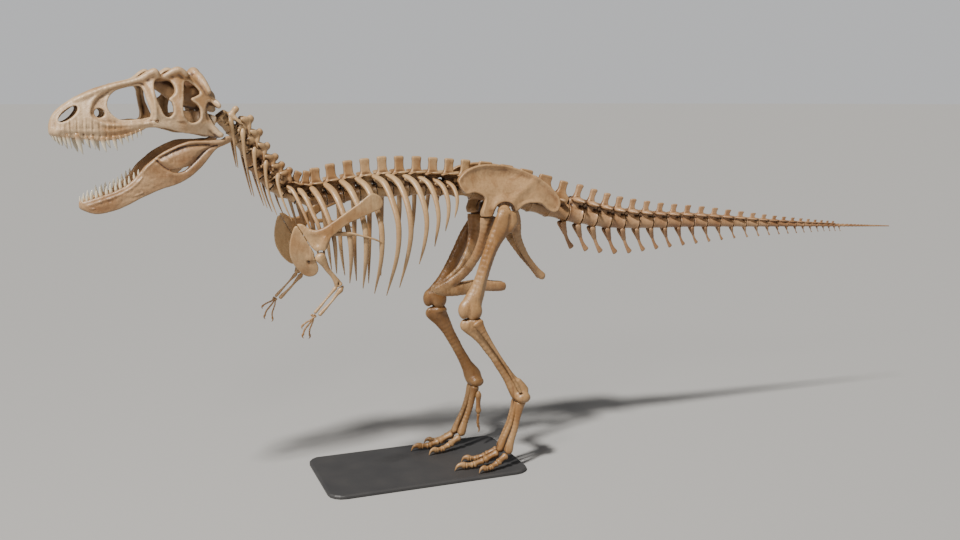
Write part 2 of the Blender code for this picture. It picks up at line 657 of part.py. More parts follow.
def tail(line, stops, first, last):
    """Vertebrae from number first up to last, with spines, side wings and chevrons."""
    parts = [centra(line, stops[first:last + 1], TAIL_SIDES if first >= 6 else CENTRUM_SIDES)]
    for i in range(first, last):
        middle = (stops[i] + stops[i + 1]) / 2
        length = stops[i + 1] - stops[i]
        centre = line.at(middle)
        ahead = line.along(middle)
        size = rows(CENTRUM_SIZES, centre.x)
        if i < SPINED_CAUDALS:
            top = Vector((centre.x + TAIL_LEAN, 0, rows(SPINE_TOPS, centre.x + TAIL_LEAN)))
            slim = 1 - 0.6 * i / SPINED_CAUDALS
            parts.append(plate(centre + Vector((-0.02, 0, size * 0.4)), top, length * 0.30, length * 0.16,
                               0.022 * slim, ahead))
        if i < WINGED_CAUDALS:
            reach = size + 0.20 * (1 - i / WINGED_CAUDALS)
            root = centre + Vector((-0.02, 0, size * 0.30))
            tips = [centre + Vector((0.05, s * reach, size * 0.12)) for s in (LEFT, RIGHT)]
            parts.append(limb([tips[0], root, tips[1]],
                              [(length * 0.13, 0.012), (length * 0.22, size * 0.22), (length * 0.13, 0.012)],
                              4, across=(1, 0, 0)))
        if i < CHEVRON_COUNT:
            hinge = line.at(stops[i] + length * 0.10)
            drop = rows(CHEVRON_DROPS, hinge.x)
            low = hinge + Vector((0.15 * drop / 0.36, 0, -size - drop * 0.98))
            slim = 1 - 0.55 * i / CHEVRON_COUNT
            parts.append(limb([hinge - Vector((0, 0, size * 0.7)), hinge.lerp(low, 0.6), low],
                              [(0.034 * slim, 0.030 * slim), (0.018 * slim, 0.024 * slim),
                               (0.016 * slim, 0.040 * slim)], 4, across=(0, 1, 0)))
    return joined(parts)


def ilium(side):
    """Long hip blade with its two feet around the socket."""
    tops = ((-0.64, 3.83), (-0.50, 3.95), (-0.31, 4.005), (0.0, 3.99), (0.31, 3.905), (0.51, 3.80),
            (0.69, 3.65), (0.77, 3.52))
    lows = ((-0.64, 3.74), (-0.55, 3.655), (-0.44, 3.67), (-0.28, 3.60), (-0.10, 3.53), (0.05, 3.535),
            (0.25, 3.50), (0.45, 3.50), (0.60, 3.40), (0.71, 3.375), (0.77, 3.43))
    rings = []
    for x in (-0.64, -0.55, -0.42, -0.27, -0.12, 0.05, 0.22, 0.40, 0.56, 0.68, 0.77):
        top = rows(tops, x)
        low = rows(lows, x)
        splay = 0.03 * abs(x - 0.05)
        middle = (top + low) / 2
        ring = []
        for half, z in ((0.175, top), (0.205, top), (0.245, middle), (0.29, low), (0.235, low), (0.205, middle)):
            ring.append(Vector((x, side * (half + splay), z)))
        rings.append(ring)
    parts = [loft(rings)]
    parts.append(limb([(-0.18, side * 0.25, 3.62), (-0.24, side * 0.26, 3.46), (-0.26, side * 0.25, 3.31)],
                      [(0.05, 0.12), (0.055, 0.085), (0.06, 0.07)], 6))
    parts.append(limb([(0.16, side * 0.25, 3.58), (0.155, side * 0.26, 3.49), (0.15, side * 0.25, 3.41)],
                      [(0.045, 0.09), (0.05, 0.055), (0.045, 0.04)], 6))
    # hood above the socket
    parts.append(limb([(-0.20, side * 0.29, 3.53), (-0.04, side * 0.325, 3.585), (0.12, side * 0.29, 3.53)],
                      [(0.035, 0.03), (0.05, 0.035), (0.035, 0.03)], 6))
    return trimmed(joined(parts), (0, 0, PUBIC_JOINT + GAP / 2), (0, 0, 1))


def pubis(side):
    """Shaft sweeping down and forward to the front of a long foot."""
    parts = [limb([(-0.235, side * 0.245, 3.36), (-0.250, side * 0.205, 3.08), (-0.335, side * 0.145, 2.84),
                   (-0.49, side * 0.092, 2.60), (-0.70, side * 0.065, 2.445), (-0.865, side * 0.055, 2.380)],
                  [(0.06, 0.090), (0.045, 0.090), (0.040, 0.070), (0.038, 0.066), (0.038, 0.060),
                   (0.032, 0.046)], 6, fine=7)]
    parts.append(limb([(-0.20, side * 0.20, 3.24), (-0.03, side * 0.19, 3.25), (0.08, side * 0.19, 3.24)],
                      [(0.045, 0.07), (0.035, 0.045), (0.035, 0.035)], 6))
    parts.append(limb([(-0.90, side * 0.055, 2.375), (-0.70, side * 0.055, 2.350),
                       (-0.45, side * 0.055, 2.365), (-0.20, side * 0.054, 2.385),
                       (-0.02, side * 0.050, 2.362), (0.110, side * 0.044, 2.358)],
                      [(0.030, 0.046), (0.042, 0.070), (0.043, 0.085), (0.040, 0.080), (0.038, 0.068),
                       (0.030, 0.050)], 6, fine=6))
    return trimmed(joined(parts), (0, 0, PUBIC_JOINT - GAP / 2), (0, 0, -1))


def ischium(side):
    parts = [limb([(0.165, side * 0.24, 3.405), (0.19, side * 0.21, 3.24), (0.22, side * 0.16, 3.06),
                   (0.37, side * 0.09, 2.79), (0.57, side * 0.06, 2.56), (0.685, side * 0.05, 2.44)],
                  [(0.05, 0.05), (0.045, 0.065), (0.035, 0.06), (0.03, 0.045), (0.03, 0.045), (0.03, 0.055)],
                  6, fine=7)]
    parts.append(limb([(0.20, side * 0.20, 3.22), (0.10, side * 0.19, 3.20)],
                      [(0.035, 0.06), (0.03, 0.045)], 6))
    return joined(parts)


def scapula(side):
    parts = [limb([(-1.80, side * 0.735, 3.635), (-2.02, side * 0.745, 3.545), (-2.25, side * 0.745, 3.41),
                   (-2.46, side * 0.70, 3.25), (-2.60, side * 0.655, 3.19)],
                  [(0.016, 0.100), (0.018, 0.080), (0.022, 0.060), (0.030, 0.085), (0.026, 0.17)],
                  6, fine=7, across=(0, 1, 0), turn=0)]
    parts.append(limb([(-2.46, side * 0.70, 3.24), (-2.62, side * 0.66, 3.31), (-2.76, side * 0.60, 3.365)],
                      [(0.02, 0.08), (0.022, 0.06), (0.018, 0.035)], 6, across=(0, 1, 0), turn=0))
    parts.append(ball(Vector((-2.55, side * 0.675, 3.13)), (0.060, 0.045, 0.055), 6, 3))
    return trimmed(joined(parts), SUTURE_AT + SUTURE_FACES * GAP / 2, SUTURE_FACES)


def coracoid(side):
    """Rounded shield below and in front of the shoulder blade."""
    rings = []
    for part, tall in ((0.0, 0.30), (0.14, 0.75), (0.42, 1.0), (0.70, 0.92), (0.92, 0.52), (1.0, 0.12)):
        centre = Vector((-2.735, side * 0.60, 3.36)).lerp(Vector((-2.655, side * 0.47, 2.75)), part)
        wide = Vector((0.155, side * 0.055, 0.0)) * tall
        thick = Vector((-0.3, side, 0)).normalized() * 0.024
        rings.append([centre - wide, centre - wide * 0.5 + thick, centre + wide * 0.5 + thick, centre + wide,
                      centre + wide * 0.5 - thick, centre - wide * 0.5 - thick])
    return trimmed(loft(rings), SUTURE_AT - SUTURE_FACES * GAP / 2, -SUTURE_FACES)


def arm(side, forward, lift):
    """Upper arm, the two bones of the forearm and the hand, as four bodies."""
    shift = Vector((forward, 0, lift))
    top = Vector((-2.53, side * 0.685, 3.02))
    elbow = Vector((-2.315, side * 0.64, 2.655)) + shift
    upper = limb([top, top.lerp(elbow, 0.35) + Vector((-0.01, 0, -0.01)), elbow],
                 [(0.05, 0.045), (0.045, 0.055), (0.034, 0.032), (0.034, 0.034), (0.045, 0.036)], 8)
    wrist = elbow + Vector((-0.26, side * -0.03, -0.275))
    bones = []
    for off, half in ((Vector((-0.035, 0, -0.045)), 0.022), (Vector((0.025, 0, -0.075)), 0.026)):
        start = elbow + off
        end = wrist + off * 0.95 + Vector((0, side * -0.01, 0))
        bones.append(limb([start, start.lerp(end, 0.5) + off * 0.1, end],
                          [(half * 1.2, half * 1.2), (half * 0.8, half * 0.8), (half * 1.1, half)], 6))
    palm = wrist + Vector((-0.045, side * -0.005, -0.105))
    parts = [ball(palm, (0.034, 0.05, 0.026), 8, 4)]
    for k, (reach, drop) in enumerate(((0.175, 0.12), (0.155, 0.25), (0.055, 0.28))):  # each finger's extent
        spread = side * (0.035 - 0.035 * k)
        tip = palm + Vector((-reach, spread * 1.6, -drop))
        mid = palm + Vector((-reach * 0.62, spread * 1.2, -drop * 0.45))
        parts.append(limb([palm + Vector((0, spread * 0.6, 0)), mid,
                           mid.lerp(tip, 0.5) + Vector((-0.02, 0, 0)), tip],
                          [(0.016, 0.016), (0.017, 0.016), (0.016, 0.018), (0.004, 0.004)], 5, fine=5))
    return upper, bones[0], bones[1], joined(parts)


def leg(side, knee_x, knee_z, ankle_x):
    """Femur, tibia with the ankle bones, and fibula."""
    head = Vector((-0.04, side * 0.31, 3.42))
    neck_end = Vector((-0.045, side * 0.42, 3.40))
    knee = Vector((knee_x, side * 0.44, knee_z))
    bow = neck_end.lerp(knee, 0.45) + Vector((-0.02, 0, 0.0))
    shaft = limb([neck_end + Vector((0.01, side * 0.01, 0.03)), neck_end + Vector((-0.06, side * 0.01, -0.16)),
                  bow, neck_end.lerp(knee, 0.8), knee + Vector((0, 0, 0.01))],
                 [(0.06, 0.08), (0.075, 0.125), (0.068, 0.095), (0.068, 0.095), (0.085, 0.125),
                  (0.125, 0.165), (0.115, 0.125)], 8, fine=9)
    round_head = limb([head, neck_end], [(0.085, 0.085), (0.075, 0.075)], 8, across=(1, 0, 0))
    trochanter = ball(Vector((0.045, side * 0.44, 3.33)), (0.075, 0.045, 0.10), 6, 4)
    inner_knob = limb([knee + Vector((0.06, side * -0.05, 0.10)), knee + Vector((0.085, side * -0.05, -0.04))],
                      [(0.055, 0.055), (0.045, 0.05)], 6)
    femur = joined([shaft, round_head, trochanter, inner_knob])
    ankle = Vector((ankle_x, side * 0.46, 0.955))
    shin_top = knee + Vector((0.02, 0, -0.135))
    shaft = limb([shin_top, shin_top.lerp(ankle, 0.2), shin_top.lerp(ankle, 0.6), ankle],
                 [(0.09, 0.155), (0.07, 0.12), (0.056, 0.085), (0.052, 0.072), (0.056, 0.070),
                  (0.075, 0.085), (0.10, 0.105)], 8, fine=8)
    crest = limb([shin_top + Vector((-0.08, 0, -0.02)), shin_top.lerp(ankle, 0.22) + Vector((-0.08, 0, 0))],
                 [(0.035, 0.085), (0.02, 0.03)], 6)
    roller = limb([ankle + Vector((0, side * -0.085, -0.02)), ankle + Vector((0, side * 0.10, -0.02))],
                  [(0.085, 0.075), (0.085, 0.075)], 8, across=(1, 0, 0))
    tibia = joined([shaft, crest, roller])
    outer = Vector((0.02, side * 0.13, 0))
    fibula = limb([shin_top + outer + Vector((0.01, 0, 0.0)), shin_top.lerp(ankle, 0.3) + outer * 0.93,
                   ankle + Vector((-0.01, side * 0.13, 0.12))],
                  [(0.032, 0.075), (0.026, 0.05), (0.020, 0.026), (0.018, 0.022), (0.022, 0.028)], 6, fine=6)
    return femur, tibia, fibula, ankle


def foot(side, ankle, toe_x):
    """Three metatarsals, three toes with claws, and the small first toe behind the ankle."""
    made = {}
    spreads = {2: -0.135, 3: 0.0, 4: 0.115}
    reach = {2: 0.49, 3: 0.62, 4: 0.43}
    for number in (2, 3, 4):
        top = ankle + Vector((-0.025, side * spreads[number] * 0.63, -0.105))
        base_x = toe_x + (0.0 if number == 3 else 0.05 + 0.02 * (number == 4))
        base = Vector((base_x, ankle.y + side * spreads[number] * 0.93, 0.235))
        made["metatarsal_%d" % number] = joined([limb(
            [top, top.lerp(base, 0.5) + Vector((0.012, 0, 0)), base],
            [(0.034, 0.060), (0.030, 0.040), (0.029, 0.038), (0.034, 0.045), (0.044, 0.055)], 8, fine=6)])
        start = base + Vector((-0.045, side * spreads[number] * 0.12, -0.105))
        tip = Vector((start.x - reach[number], start.y + side * spreads[number] * 0.85, 0.006))
        knuckle = start.lerp(tip, 0.33)
        knuckle.z = 0.095
        second = start.lerp(tip, 0.60)
        second.z = 0.018
        third = start.lerp(tip, 0.76)
        third.z = 0.052
        toe = joined([limb([start, knuckle, second, third, tip],
                           [(0.044, 0.046), (0.034, 0.034), (0.041, 0.040), (0.031, 0.030), (0.038, 0.036),
                            (0.028, 0.030), (0.026, 0.034), (0.018, 0.022), (0.004, 0.006)], 6, fine=10)])
        made["toe_%d" % number] = toe
    thumb = ankle + Vector((0.005, side * -0.15, -0.16))
    return made, thumb


def hallux(start, points):
    sizes = [(0.010, 0.012), (0.020, 0.022), (0.016, 0.018), (0.022, 0.024), (0.018, 0.022), (0.004, 0.005)]
    return joined([limb([start + Vector(p) for p in points], sizes, 6, fine=8)])


def base():
    """Flat stand with a bevelled rim, under the feet and the weight of the head and chest."""
    rings = []
    for height, inset in ((0.0, 0.010), (0.010, 0.0), (BASE_THICK - 0.015, 0.0), (BASE_THICK, 0.015)):
        ring = []
        for sx, sy in ((1, 1), (-1, 1), (-1, -1), (1, -1)):
            start = {(1, 1): 0, (-1, 1): 90, (-1, -1): 180, (1, -1): 270}[(sx, sy)]
            for k in range(BASE_CORNER_STEPS + 1):
                angle = math.radians(start + 90 * k / BASE_CORNER_STEPS)
                bend = BASE_CORNER - inset
                x = BASE_CENTRE_X + sx * (BASE_LONG / 2 - BASE_CORNER) + bend * math.cos(angle)
                y = sy * (BASE_WIDE / 2 - BASE_CORNER) + bend * math.sin(angle)
                ring.append(Vector((x, y, height - BASE_THICK)))
        rings.append(ring)
    return loft(rings)


def build():
    for old in list(bpy.data.objects):
        bpy.data.objects.remove(old)
    line = Line(BACKBONE)
    neck_marks = [0.0] + even_marks(ATLAS, line.reach(TRUNK_START), NECK_COUNT - 1)
    trunk_marks = even_marks(line.reach(TRUNK_START), line.reach(SACRUM_START), TRUNK_COUNT)
    sacral_marks = even_marks(line.reach(SACRUM_START), line.reach(TAIL_START), SACRAL_COUNT)
    node("stand_base", base(), "charcoal")
    node("skull", skull(), "ivory")
    node("mandible_left", jaw(1), "ivory")
    node("mandible_right", jaw(-1), "ivory")
    rear = NECK_FRONT_COUNT + NECK_REAR_COUNT
    node("neck_front", neck(line, neck_marks[:NECK_FRONT_COUNT + 1], 0))
    node("neck_rear", neck(line, neck_marks[NECK_FRONT_COUNT:rear + 1], NECK_FRONT_COUNT))
    for name, side in (("trunk_left", LEFT), ("trunk_right", RIGHT)):
        node(name, trunk(line, neck_marks[rear:-1] + trunk_marks, side))
    node("sacrum", sacrum(line, sacral_marks), "ochre")
    marks = caudal_marks(line)
    for k in range(len(TAIL_SPLITS) - 1):
        length = tail(line, marks, TAIL_SPLITS[k], TAIL_SPLITS[k + 1])
        node("tail_%d" % (k + 1), length, "ochre" if k == 0 else "tan")
    poses = {"left": (LEFT, (0.0, 0.0), (-0.555, 2.15, 0.155), -0.12),
             "right": (RIGHT, (-0.24, -0.03), (-0.74, 2.15, -0.15), -0.44)}
    for name, (side, arm_move, leg_move, toe_x) in poses.items():
        node("ilium_" + name, ilium(side), "ochre")
        node("pubis_" + name, pubis(side), "ochre")
        node("ischium_" + name, ischium(side), "ochre")
        node("scapula_" + name, scapula(side))
        node("coracoid_" + name, coracoid(side))
        upper, thin, thick, hand = arm(side, *arm_move)
        node("humerus_" + name, upper)
        node("radius_" + name, thin)
        node("ulna_" + name, thick)
        node("hand_" + name, hand)
        femur, tibia, fibula, ankle = leg(side, *leg_move)
        node("femur_" + name, femur, "ochre")
        node("tibia_" + name, tibia, "ochre")
        node("fibula_" + name, fibula, "ochre")
        bones, thumb = foot(side, ankle, toe_x)
        for part, bm in bones.items():
            if part.startswith("toe"):
                bm = trimmed(bm, (0, 0, SOLE_RISE), (0, 0, 1))
            node(part + "_" + name, bm)
        if side == RIGHT:
            drop = ((0.0, 0, 0.03), (0.0, 0, -0.18), (-0.01, 0, -0.42), (-0.01, 0, -0.50), (0.015, 0, -0.60))
        else:
            drop = ((0.02, 0.01, 0.03), (-0.04, 0.025, -0.12), (-0.11, 0.045, -0.34), (-0.14, 0.05, -0.42),
                    (-0.145, 0.05, -0.52))
        node("hallux_" + name, hallux(thumb, drop))


build()
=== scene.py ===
import math
import bmesh
import bpy
import numpy as np
from mathutils import Euler, Matrix, Vector


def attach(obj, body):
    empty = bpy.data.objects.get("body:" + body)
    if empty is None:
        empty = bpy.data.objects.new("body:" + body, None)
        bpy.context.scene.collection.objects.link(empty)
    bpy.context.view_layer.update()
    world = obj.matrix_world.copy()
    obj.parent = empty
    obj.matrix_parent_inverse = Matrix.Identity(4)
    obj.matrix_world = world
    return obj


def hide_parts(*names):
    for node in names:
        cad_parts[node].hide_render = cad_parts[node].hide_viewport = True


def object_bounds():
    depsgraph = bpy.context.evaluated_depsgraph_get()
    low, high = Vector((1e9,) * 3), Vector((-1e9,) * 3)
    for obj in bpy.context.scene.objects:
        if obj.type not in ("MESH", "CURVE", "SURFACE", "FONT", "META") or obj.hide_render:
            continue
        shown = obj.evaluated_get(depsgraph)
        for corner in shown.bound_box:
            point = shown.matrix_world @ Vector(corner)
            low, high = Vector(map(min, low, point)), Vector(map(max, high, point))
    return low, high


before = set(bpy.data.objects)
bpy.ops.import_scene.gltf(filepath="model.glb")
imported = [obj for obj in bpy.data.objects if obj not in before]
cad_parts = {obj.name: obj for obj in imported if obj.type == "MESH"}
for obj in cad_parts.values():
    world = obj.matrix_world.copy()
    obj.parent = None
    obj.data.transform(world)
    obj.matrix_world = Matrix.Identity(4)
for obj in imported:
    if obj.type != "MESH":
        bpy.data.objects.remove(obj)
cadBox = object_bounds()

print("frame loaded")

# where the skeleton stands: sizes below are from the hip socket along x and from the soles up
body = {"hip": np.array((-0.625, 0.0, 0.05))}


# sizes are read from tables of (place, value)
def readTable(table, at):
    places, values = zip(*table)
    return np.interp(at, places, values)


def easeTable(table, at, reach=0.04):
    # the same reading, with its corners rounded over the reach
    return sum(readTable(table, at + reach * k) for k in (-1.0, -0.5, 0.0, 0.5, 1.0)) / 5


def spline(points, fine=6, closed=False):
    p = np.array(points, float)
    if closed:
        ends = np.vstack([p[-1:], p, p[:2]])
        spans = len(p)
    else:
        ends = np.vstack([2 * p[:1] - p[1:2], p, 2 * p[-1:] - p[-2:-1]])
        spans = len(p) - 1
    out = []
    t = (np.arange(fine) / fine)[:, None]
    for i in range(spans):
        a, b, c, d = ends[i:i + 4]
        out.append(0.5 * (2 * b + (c - a) * t + (2 * a - 5 * b + 4 * c - d) * t ** 2 + (3 * b - a - 3 * c
            + d) * t ** 3))
    if not closed:
        out.append(p[-1:])
    return np.vstack(out)


def outlineDistance(outline, a, b):
    # distance in a flat view from a closed outline, below zero inside it
    a, b = np.broadcast_arrays(a, b)
    best = np.full(a.shape, 1e9)
    inside = np.zeros(a.shape, bool)
    for (a0, b0), (a1, b1) in zip(outline, np.roll(outline, -1, axis=0)):
        ea, eb = a1 - a0, b1 - b0
        t = np.clip(((a - a0) * ea + (b - b0) * eb) / (ea * ea + eb * eb + 1e-12), 0, 1)
        best = np.minimum(best, (a - a0 - ea * t) ** 2 + (b - b0 - eb * t) ** 2)
        inside ^= ((b0 > b) != (b1 > b)) & (a < ea * (b - b0) / (eb if abs(eb) > 1e-12 else 1e-12) + a0)
    return np.where(inside, -1, 1) * np.sqrt(best)


def lumps(points, size, seed):
    # smooth random heights in space, about -1 to 1
    rng = np.random.default_rng(seed)
    table = rng.uniform(-1, 1, (32, 32, 32)).astype(np.float32)
    p = np.asarray(points, np.float64) / size
    low = np.floor(p).astype(int)
    f = p - low
    f = f * f * (3 - 2 * f)
    out = np.zeros(p.shape[:-1])
    for dx in (0, 1):
        for dy in (0, 1):
            for dz in (0, 1):
                share = (np.where(dx, f[..., 0], 1 - f[..., 0]) * np.where(dy, f[..., 1], 1 - f[..., 1])
                    * np.where(dz, f[..., 2], 1 - f[..., 2]))
                out += share * table[(low[..., 0] + dx) % 32, (low[..., 1] + dy) % 32,
                    (low[..., 2] + dz) % 32]
    return out


# clay: bone is built up and carved in a block of space, then given a skin
def softMin(a, b, soft):
    if soft <= 0:
        return np.minimum(a, b)
    h = np.maximum(soft - np.abs(a - b), 0) / soft
    return np.minimum(a, b) - h * h * soft / 4


def softMax(a, b, soft):
    return -softMin(-a, -b, soft)


def roundMeet(a, b, edge):
    # where both are inside, with the edge between them rounded
    outer = np.sqrt(np.maximum(a + edge, 0) ** 2 + np.maximum(b + edge, 0) ** 2) - edge
    return np.minimum(np.maximum(a, b), 0) * (outer <= 0) + np.maximum(outer, np.minimum(np.maximum(a, b),
        0))


class Clay:
    def __init__(self, low, high, step):
        low = np.array(low, float) - 3 * step
        high = np.array(high, float) + 3 * step
        self.step = step
        self.low = low
        counts = np.ceil((high - low) / step).astype(int) + 1
        self.axes = [low[k] + step * np.arange(counts[k]) for k in range(3)]
        self.field = np.full(counts, 0.5, np.float32)

    def near(self, low, high):
        cut = []
        for k in range(3):
            first = max(int(np.searchsorted(self.axes[k], low[k])) - 1, 0)
            last = min(int(np.searchsorted(self.axes[k], high[k])) + 1, len(self.axes[k]))
            cut.append(slice(first, max(last, first + 1)))
        x, y, z = (self.axes[k][cut[k]] for k in range(3))
        return tuple(cut), x[:, None, None], y[None, :, None], z[None, None, :]

    def grid(self):
        x, y, z = self.axes
        return x[:, None, None], y[None, :, None], z[None, None, :]

    def put(self, shape, soft=0.0, cut=None, carve=False):
        cut = cut or (slice(None), slice(None), slice(None))
        if carve:
            self.field[cut] = softMax(self.field[cut], -shape, soft)
        else:
            self.field[cut] = softMin(self.field[cut], shape, soft)

    def ball(self, centre, sizes, soft=0.02, turn=(0, 0, 0), carve=False):
        centre = np.array(centre, float)
        sizes = np.array(sizes, float)
        reach = max(sizes) + soft + 2 * self.step
        cut, x, y, z = self.near(centre - reach, centre + reach)
        spin = np.array(Euler([math.radians(v) for v in turn]).to_matrix()).T
        q = [spin[k][0] * (x - centre[0]) + spin[k][1] * (y - centre[1]) + spin[k][2] * (z - centre[2])
            for k in range(3)]
        k0 = np.sqrt(sum((q[k] / sizes[k]) ** 2 for k in range(3)))
        k1 = np.sqrt(sum((q[k] / sizes[k] ** 2) ** 2 for k in range(3))) + 1e-9
        self.put(k0 * (k0 - 1) / k1, soft, cut, carve)

    def limb(self, points, sizes, across=(0, 1, 0), soft=0.02, fine=4, carve=False):
        # a long bone along points, each with half sizes (across, the other way)
        path = spline(points, fine)
        girth = np.maximum(spline(sizes, fine), 0.002)
        whole = None
        reach = girth.max() + soft + 2 * self.step
        cut, x, y, z = self.near(path.min(0) - reach, path.max(0) + reach)
        for p0, p1, g0, g1 in zip(path, path[1:], girth, girth[1:]):
            ahead = p1 - p0
            length = np.linalg.norm(ahead)
            if length < 1e-6:
                continue
            ahead = ahead / length
            side = np.array(across, float)
            side = side - ahead * side.dot(ahead)
            side = side / np.linalg.norm(side)
            up = np.cross(ahead, side)
            q = (x - p0[0], y - p0[1], z - p0[2])
            along = q[0] * ahead[0] + q[1] * ahead[1] + q[2] * ahead[2]
            t = np.clip(along / length, 0, 1)
            wide = g0[0] + (g1[0] - g0[0]) * t
            tall = g0[1] + (g1[1] - g0[1]) * t
            over = along - t * length
            a = q[0] * side[0] + q[1] * side[1] + q[2] * side[2]
            b = q[0] * up[0] + q[1] * up[1] + q[2] * up[2]
            cap = np.minimum(wide, tall)
            k0 = np.sqrt((a / wide) ** 2 + (b / tall) ** 2 + (over / cap) ** 2)
            k1 = np.sqrt((a / wide ** 2) ** 2 + (b / tall ** 2) ** 2 + (over / cap ** 2) ** 2) + 1e-9
            part = k0 * (k0 - 1) / k1
            whole = part if whole is None else softMin(whole, part, min(0.012, cap.min() * 0.5))
        if whole is not None:
            self.put(whole, soft, cut, carve)

    def sheet(self, outline, axis, middle, half, soft=0.015, edge=0.012, holes=()):
        # a plate: outline in the two other axes, middle and half are functions of them
        x, y, z = self.grid()
        a, b = {0: (y, z), 1: (x, z), 2: (x, y)}[axis]
        flat = outlineDistance(outline, a, b)
        for hole in holes:
            flat = softMax(flat, -outlineDistance(hole, a, b), 0.01)
        depth = (x, y, z)[axis]
        wall = np.abs(depth - middle(a, b)) - half(a, b)
        shape = roundMeet(flat + 0 * wall, wall + 0 * flat, edge)
        self.put(shape.astype(np.float32), soft)

    def skin(self, rounds=2):
        f = self.field
        inside = f < 0
        cells = tuple(n - 1 for n in f.shape)
        total = [np.zeros(cells[0] * cells[1] * cells[2]) for _ in range(3)]
        hits = np.zeros(cells[0] * cells[1] * cells[2])
        loops = []
        for axis in range(3):
            first = [slice(None)] * 3
            second = [slice(None)] * 3
            first[axis] = slice(0, -1)
            second[axis] = slice(1, None)
            cross = inside[tuple(first)] != inside[tuple(second)]
            where = np.argwhere(cross)
            fa = f[tuple(first)][cross].astype(float)
            fb = f[tuple(second)][cross].astype(float)
            point = where.astype(float)
            point[:, axis] += fa / (fa - fb)
            one, two = {0: (1, 2), 1: (2, 0), 2: (0, 1)}[axis]
            corners = []
            for back in ((1, 1), (0, 1), (0, 0), (1, 0)):
                cell = where.copy()
                cell[:, one] -= back[0]
                cell[:, two] -= back[1]
                flat = (cell[:, 0] * cells[1] + cell[:, 1]) * cells[2] + cell[:, 2]
                corners.append(flat)
                for k in range(3):
                    total[k] += np.bincount(flat, point[:, k], len(hits))
                hits += np.bincount(flat, minlength=len(hits))
            quad = np.stack(corners, 1)
            quad[fa > 0] = quad[fa > 0][:, ::-1]
            loops.append(quad)
        quads = np.vstack(loops)
        used = np.flatnonzero(hits)
        number = np.zeros(len(hits), np.int64)
        number[used] = np.arange(len(used))
        verts = np.stack([total[k][used] / hits[used] for k in range(3)], 1) * self.step + self.low
        quads = number[quads]
        return relax(verts, quads, rounds), quads


def neighbourMean(verts, edges):
    n = len(verts)
    ends = np.concatenate([edges[:, 0], edges[:, 1]])
    others = np.concatenate([edges[:, 1], edges[:, 0]])
    count = np.maximum(np.bincount(ends, minlength=n), 1)
    values = verts if verts.ndim == 2 else verts[:, None]
    mean = np.stack([np.bincount(ends, values[others, k], n) / count for k in range(values.shape[1])], 1)
    return mean if verts.ndim == 2 else mean[:, 0]


def quadEdges(quads):
    pairs = np.concatenate([quads[:, [0, 1]], quads[:, [1, 2]], quads[:, [2, 3]], quads[:, [3, 0]]])
    return np.unique(np.sort(pairs, 1), axis=0)


def relax(verts, quads, rounds):
    edges = quadEdges(quads)
    for _ in range(rounds):
        verts = verts + 0.55 * (neighbourMean(verts, edges) - verts)
        verts = verts - 0.35 * (neighbourMean(verts, edges) - verts)
    return verts


def normalsOf(verts, faces):
    p = [verts[faces[:, k]] for k in range(4)]
    n = np.cross(p[2] - p[0], p[3] - p[1])
    out = np.stack([sum(np.bincount(faces[:, k], n[:, c], len(verts)) for k in range(4)) for c in range(3)],
        1)
    return out / (np.linalg.norm(out, axis=1, keepdims=True) + 1e-12)


def roughen(verts, quads, layers):
    # each layer: lump size, height, seed
    normals = normalsOf(verts, quads)
    lift = sum(height * lumps(verts, size, seed) for size, height, seed in layers)
    return verts + normals * lift[:, None]


# meshes and pieces
def meshFrom(name, verts, quads):
    mesh = bpy.data.meshes.new(name)
    mesh.vertices.add(len(verts))
    mesh.vertices.foreach_set("co", np.asarray(verts, np.float32).ravel())
    mesh.loops.add(quads.size)
    mesh.loops.foreach_set("vertex_index", np.asarray(quads, np.int32).ravel())
    mesh.polygons.add(len(quads))
    mesh.polygons.foreach_set("loop_start", np.arange(0, quads.size, quads.shape[1], dtype=np.int32))
    mesh.update(calc_edges=True)
    mesh.validate()
    mesh.polygons.foreach_set("use_smooth", np.ones(len(mesh.polygons), bool))
    return mesh


def meshArray(data, label, width, kind=np.float32):
    out = np.empty(len(data) * width, kind)
    data.foreach_get(label, out)
    return out.reshape(-1, width)


def pointsOf(mesh):
    return (meshArray(mesh.vertices, "co", 3).astype(float), meshArray(mesh.vertex_normals, "vector",
        3).astype(float))


def keepOn(mesh, label, values, kind="FLOAT"):
    # values kept on the points of the mesh
    layer = mesh.attributes.get(label) or mesh.attributes.new(label, kind, "POINT")
    layer.data.foreach_set("value" if kind == "FLOAT" else "vector", np.asarray(values, np.float32).ravel())


def markHollows(mesh, rounds=6, gain=1.0):
    # how far each point lies in a hollow, 0.5 where it is flat, kept on the mesh for the finish, which
    # paints shade into the hollows and a highlight onto the ridges
    co, normal = pointsOf(mesh)
    ends = meshArray(mesh.edges, "vertices", 2, np.int32)
    size = np.median(np.linalg.norm(co[ends[:, 0]] - co[ends[:, 1]], axis=1)) + 1e-9
    smooth = co
    bend = np.zeros(len(co))
    for k in range(rounds):
        smooth = neighbourMean(smooth, ends)
        bend = bend + ((smooth - co) * normal).sum(1)
    bend = bend / rounds / size
    for k in range(3):
        bend = neighbourMean(bend, ends)
    keepOn(mesh, "hollow", np.clip(0.5 + bend * gain, 0, 1))


def addObject(name, mesh, material=None):
    obj = bpy.data.objects.new(name, mesh)
    bpy.context.scene.collection.objects.link(obj)
    if material:
        mesh.materials.append(material)
    return obj


def place(verts, turn=None, at=(0, 0, 0)):
    out = verts if turn is None else verts @ np.array(turn).T
    return out + np.array(at)


def mirrored(verts, quads):
    return verts * np.array((1, -1, 1)), quads[:, ::-1]


pieces = []


def piece(name, mesh, material, slot, *nodes, hollows=6, gain=1.0):
    obj = addObject(name, mesh, material)
    markHollows(mesh, hollows, gain)
    pieces.append((obj, slot, nodes))
    return obj


# reaches and limits of the painted shade where the bones shut each other in
recess = {"cell": 0.035, "reaches": (0.05, 0.09, 0.14, 0.2), "open": 0.2, "shut": 0.56}


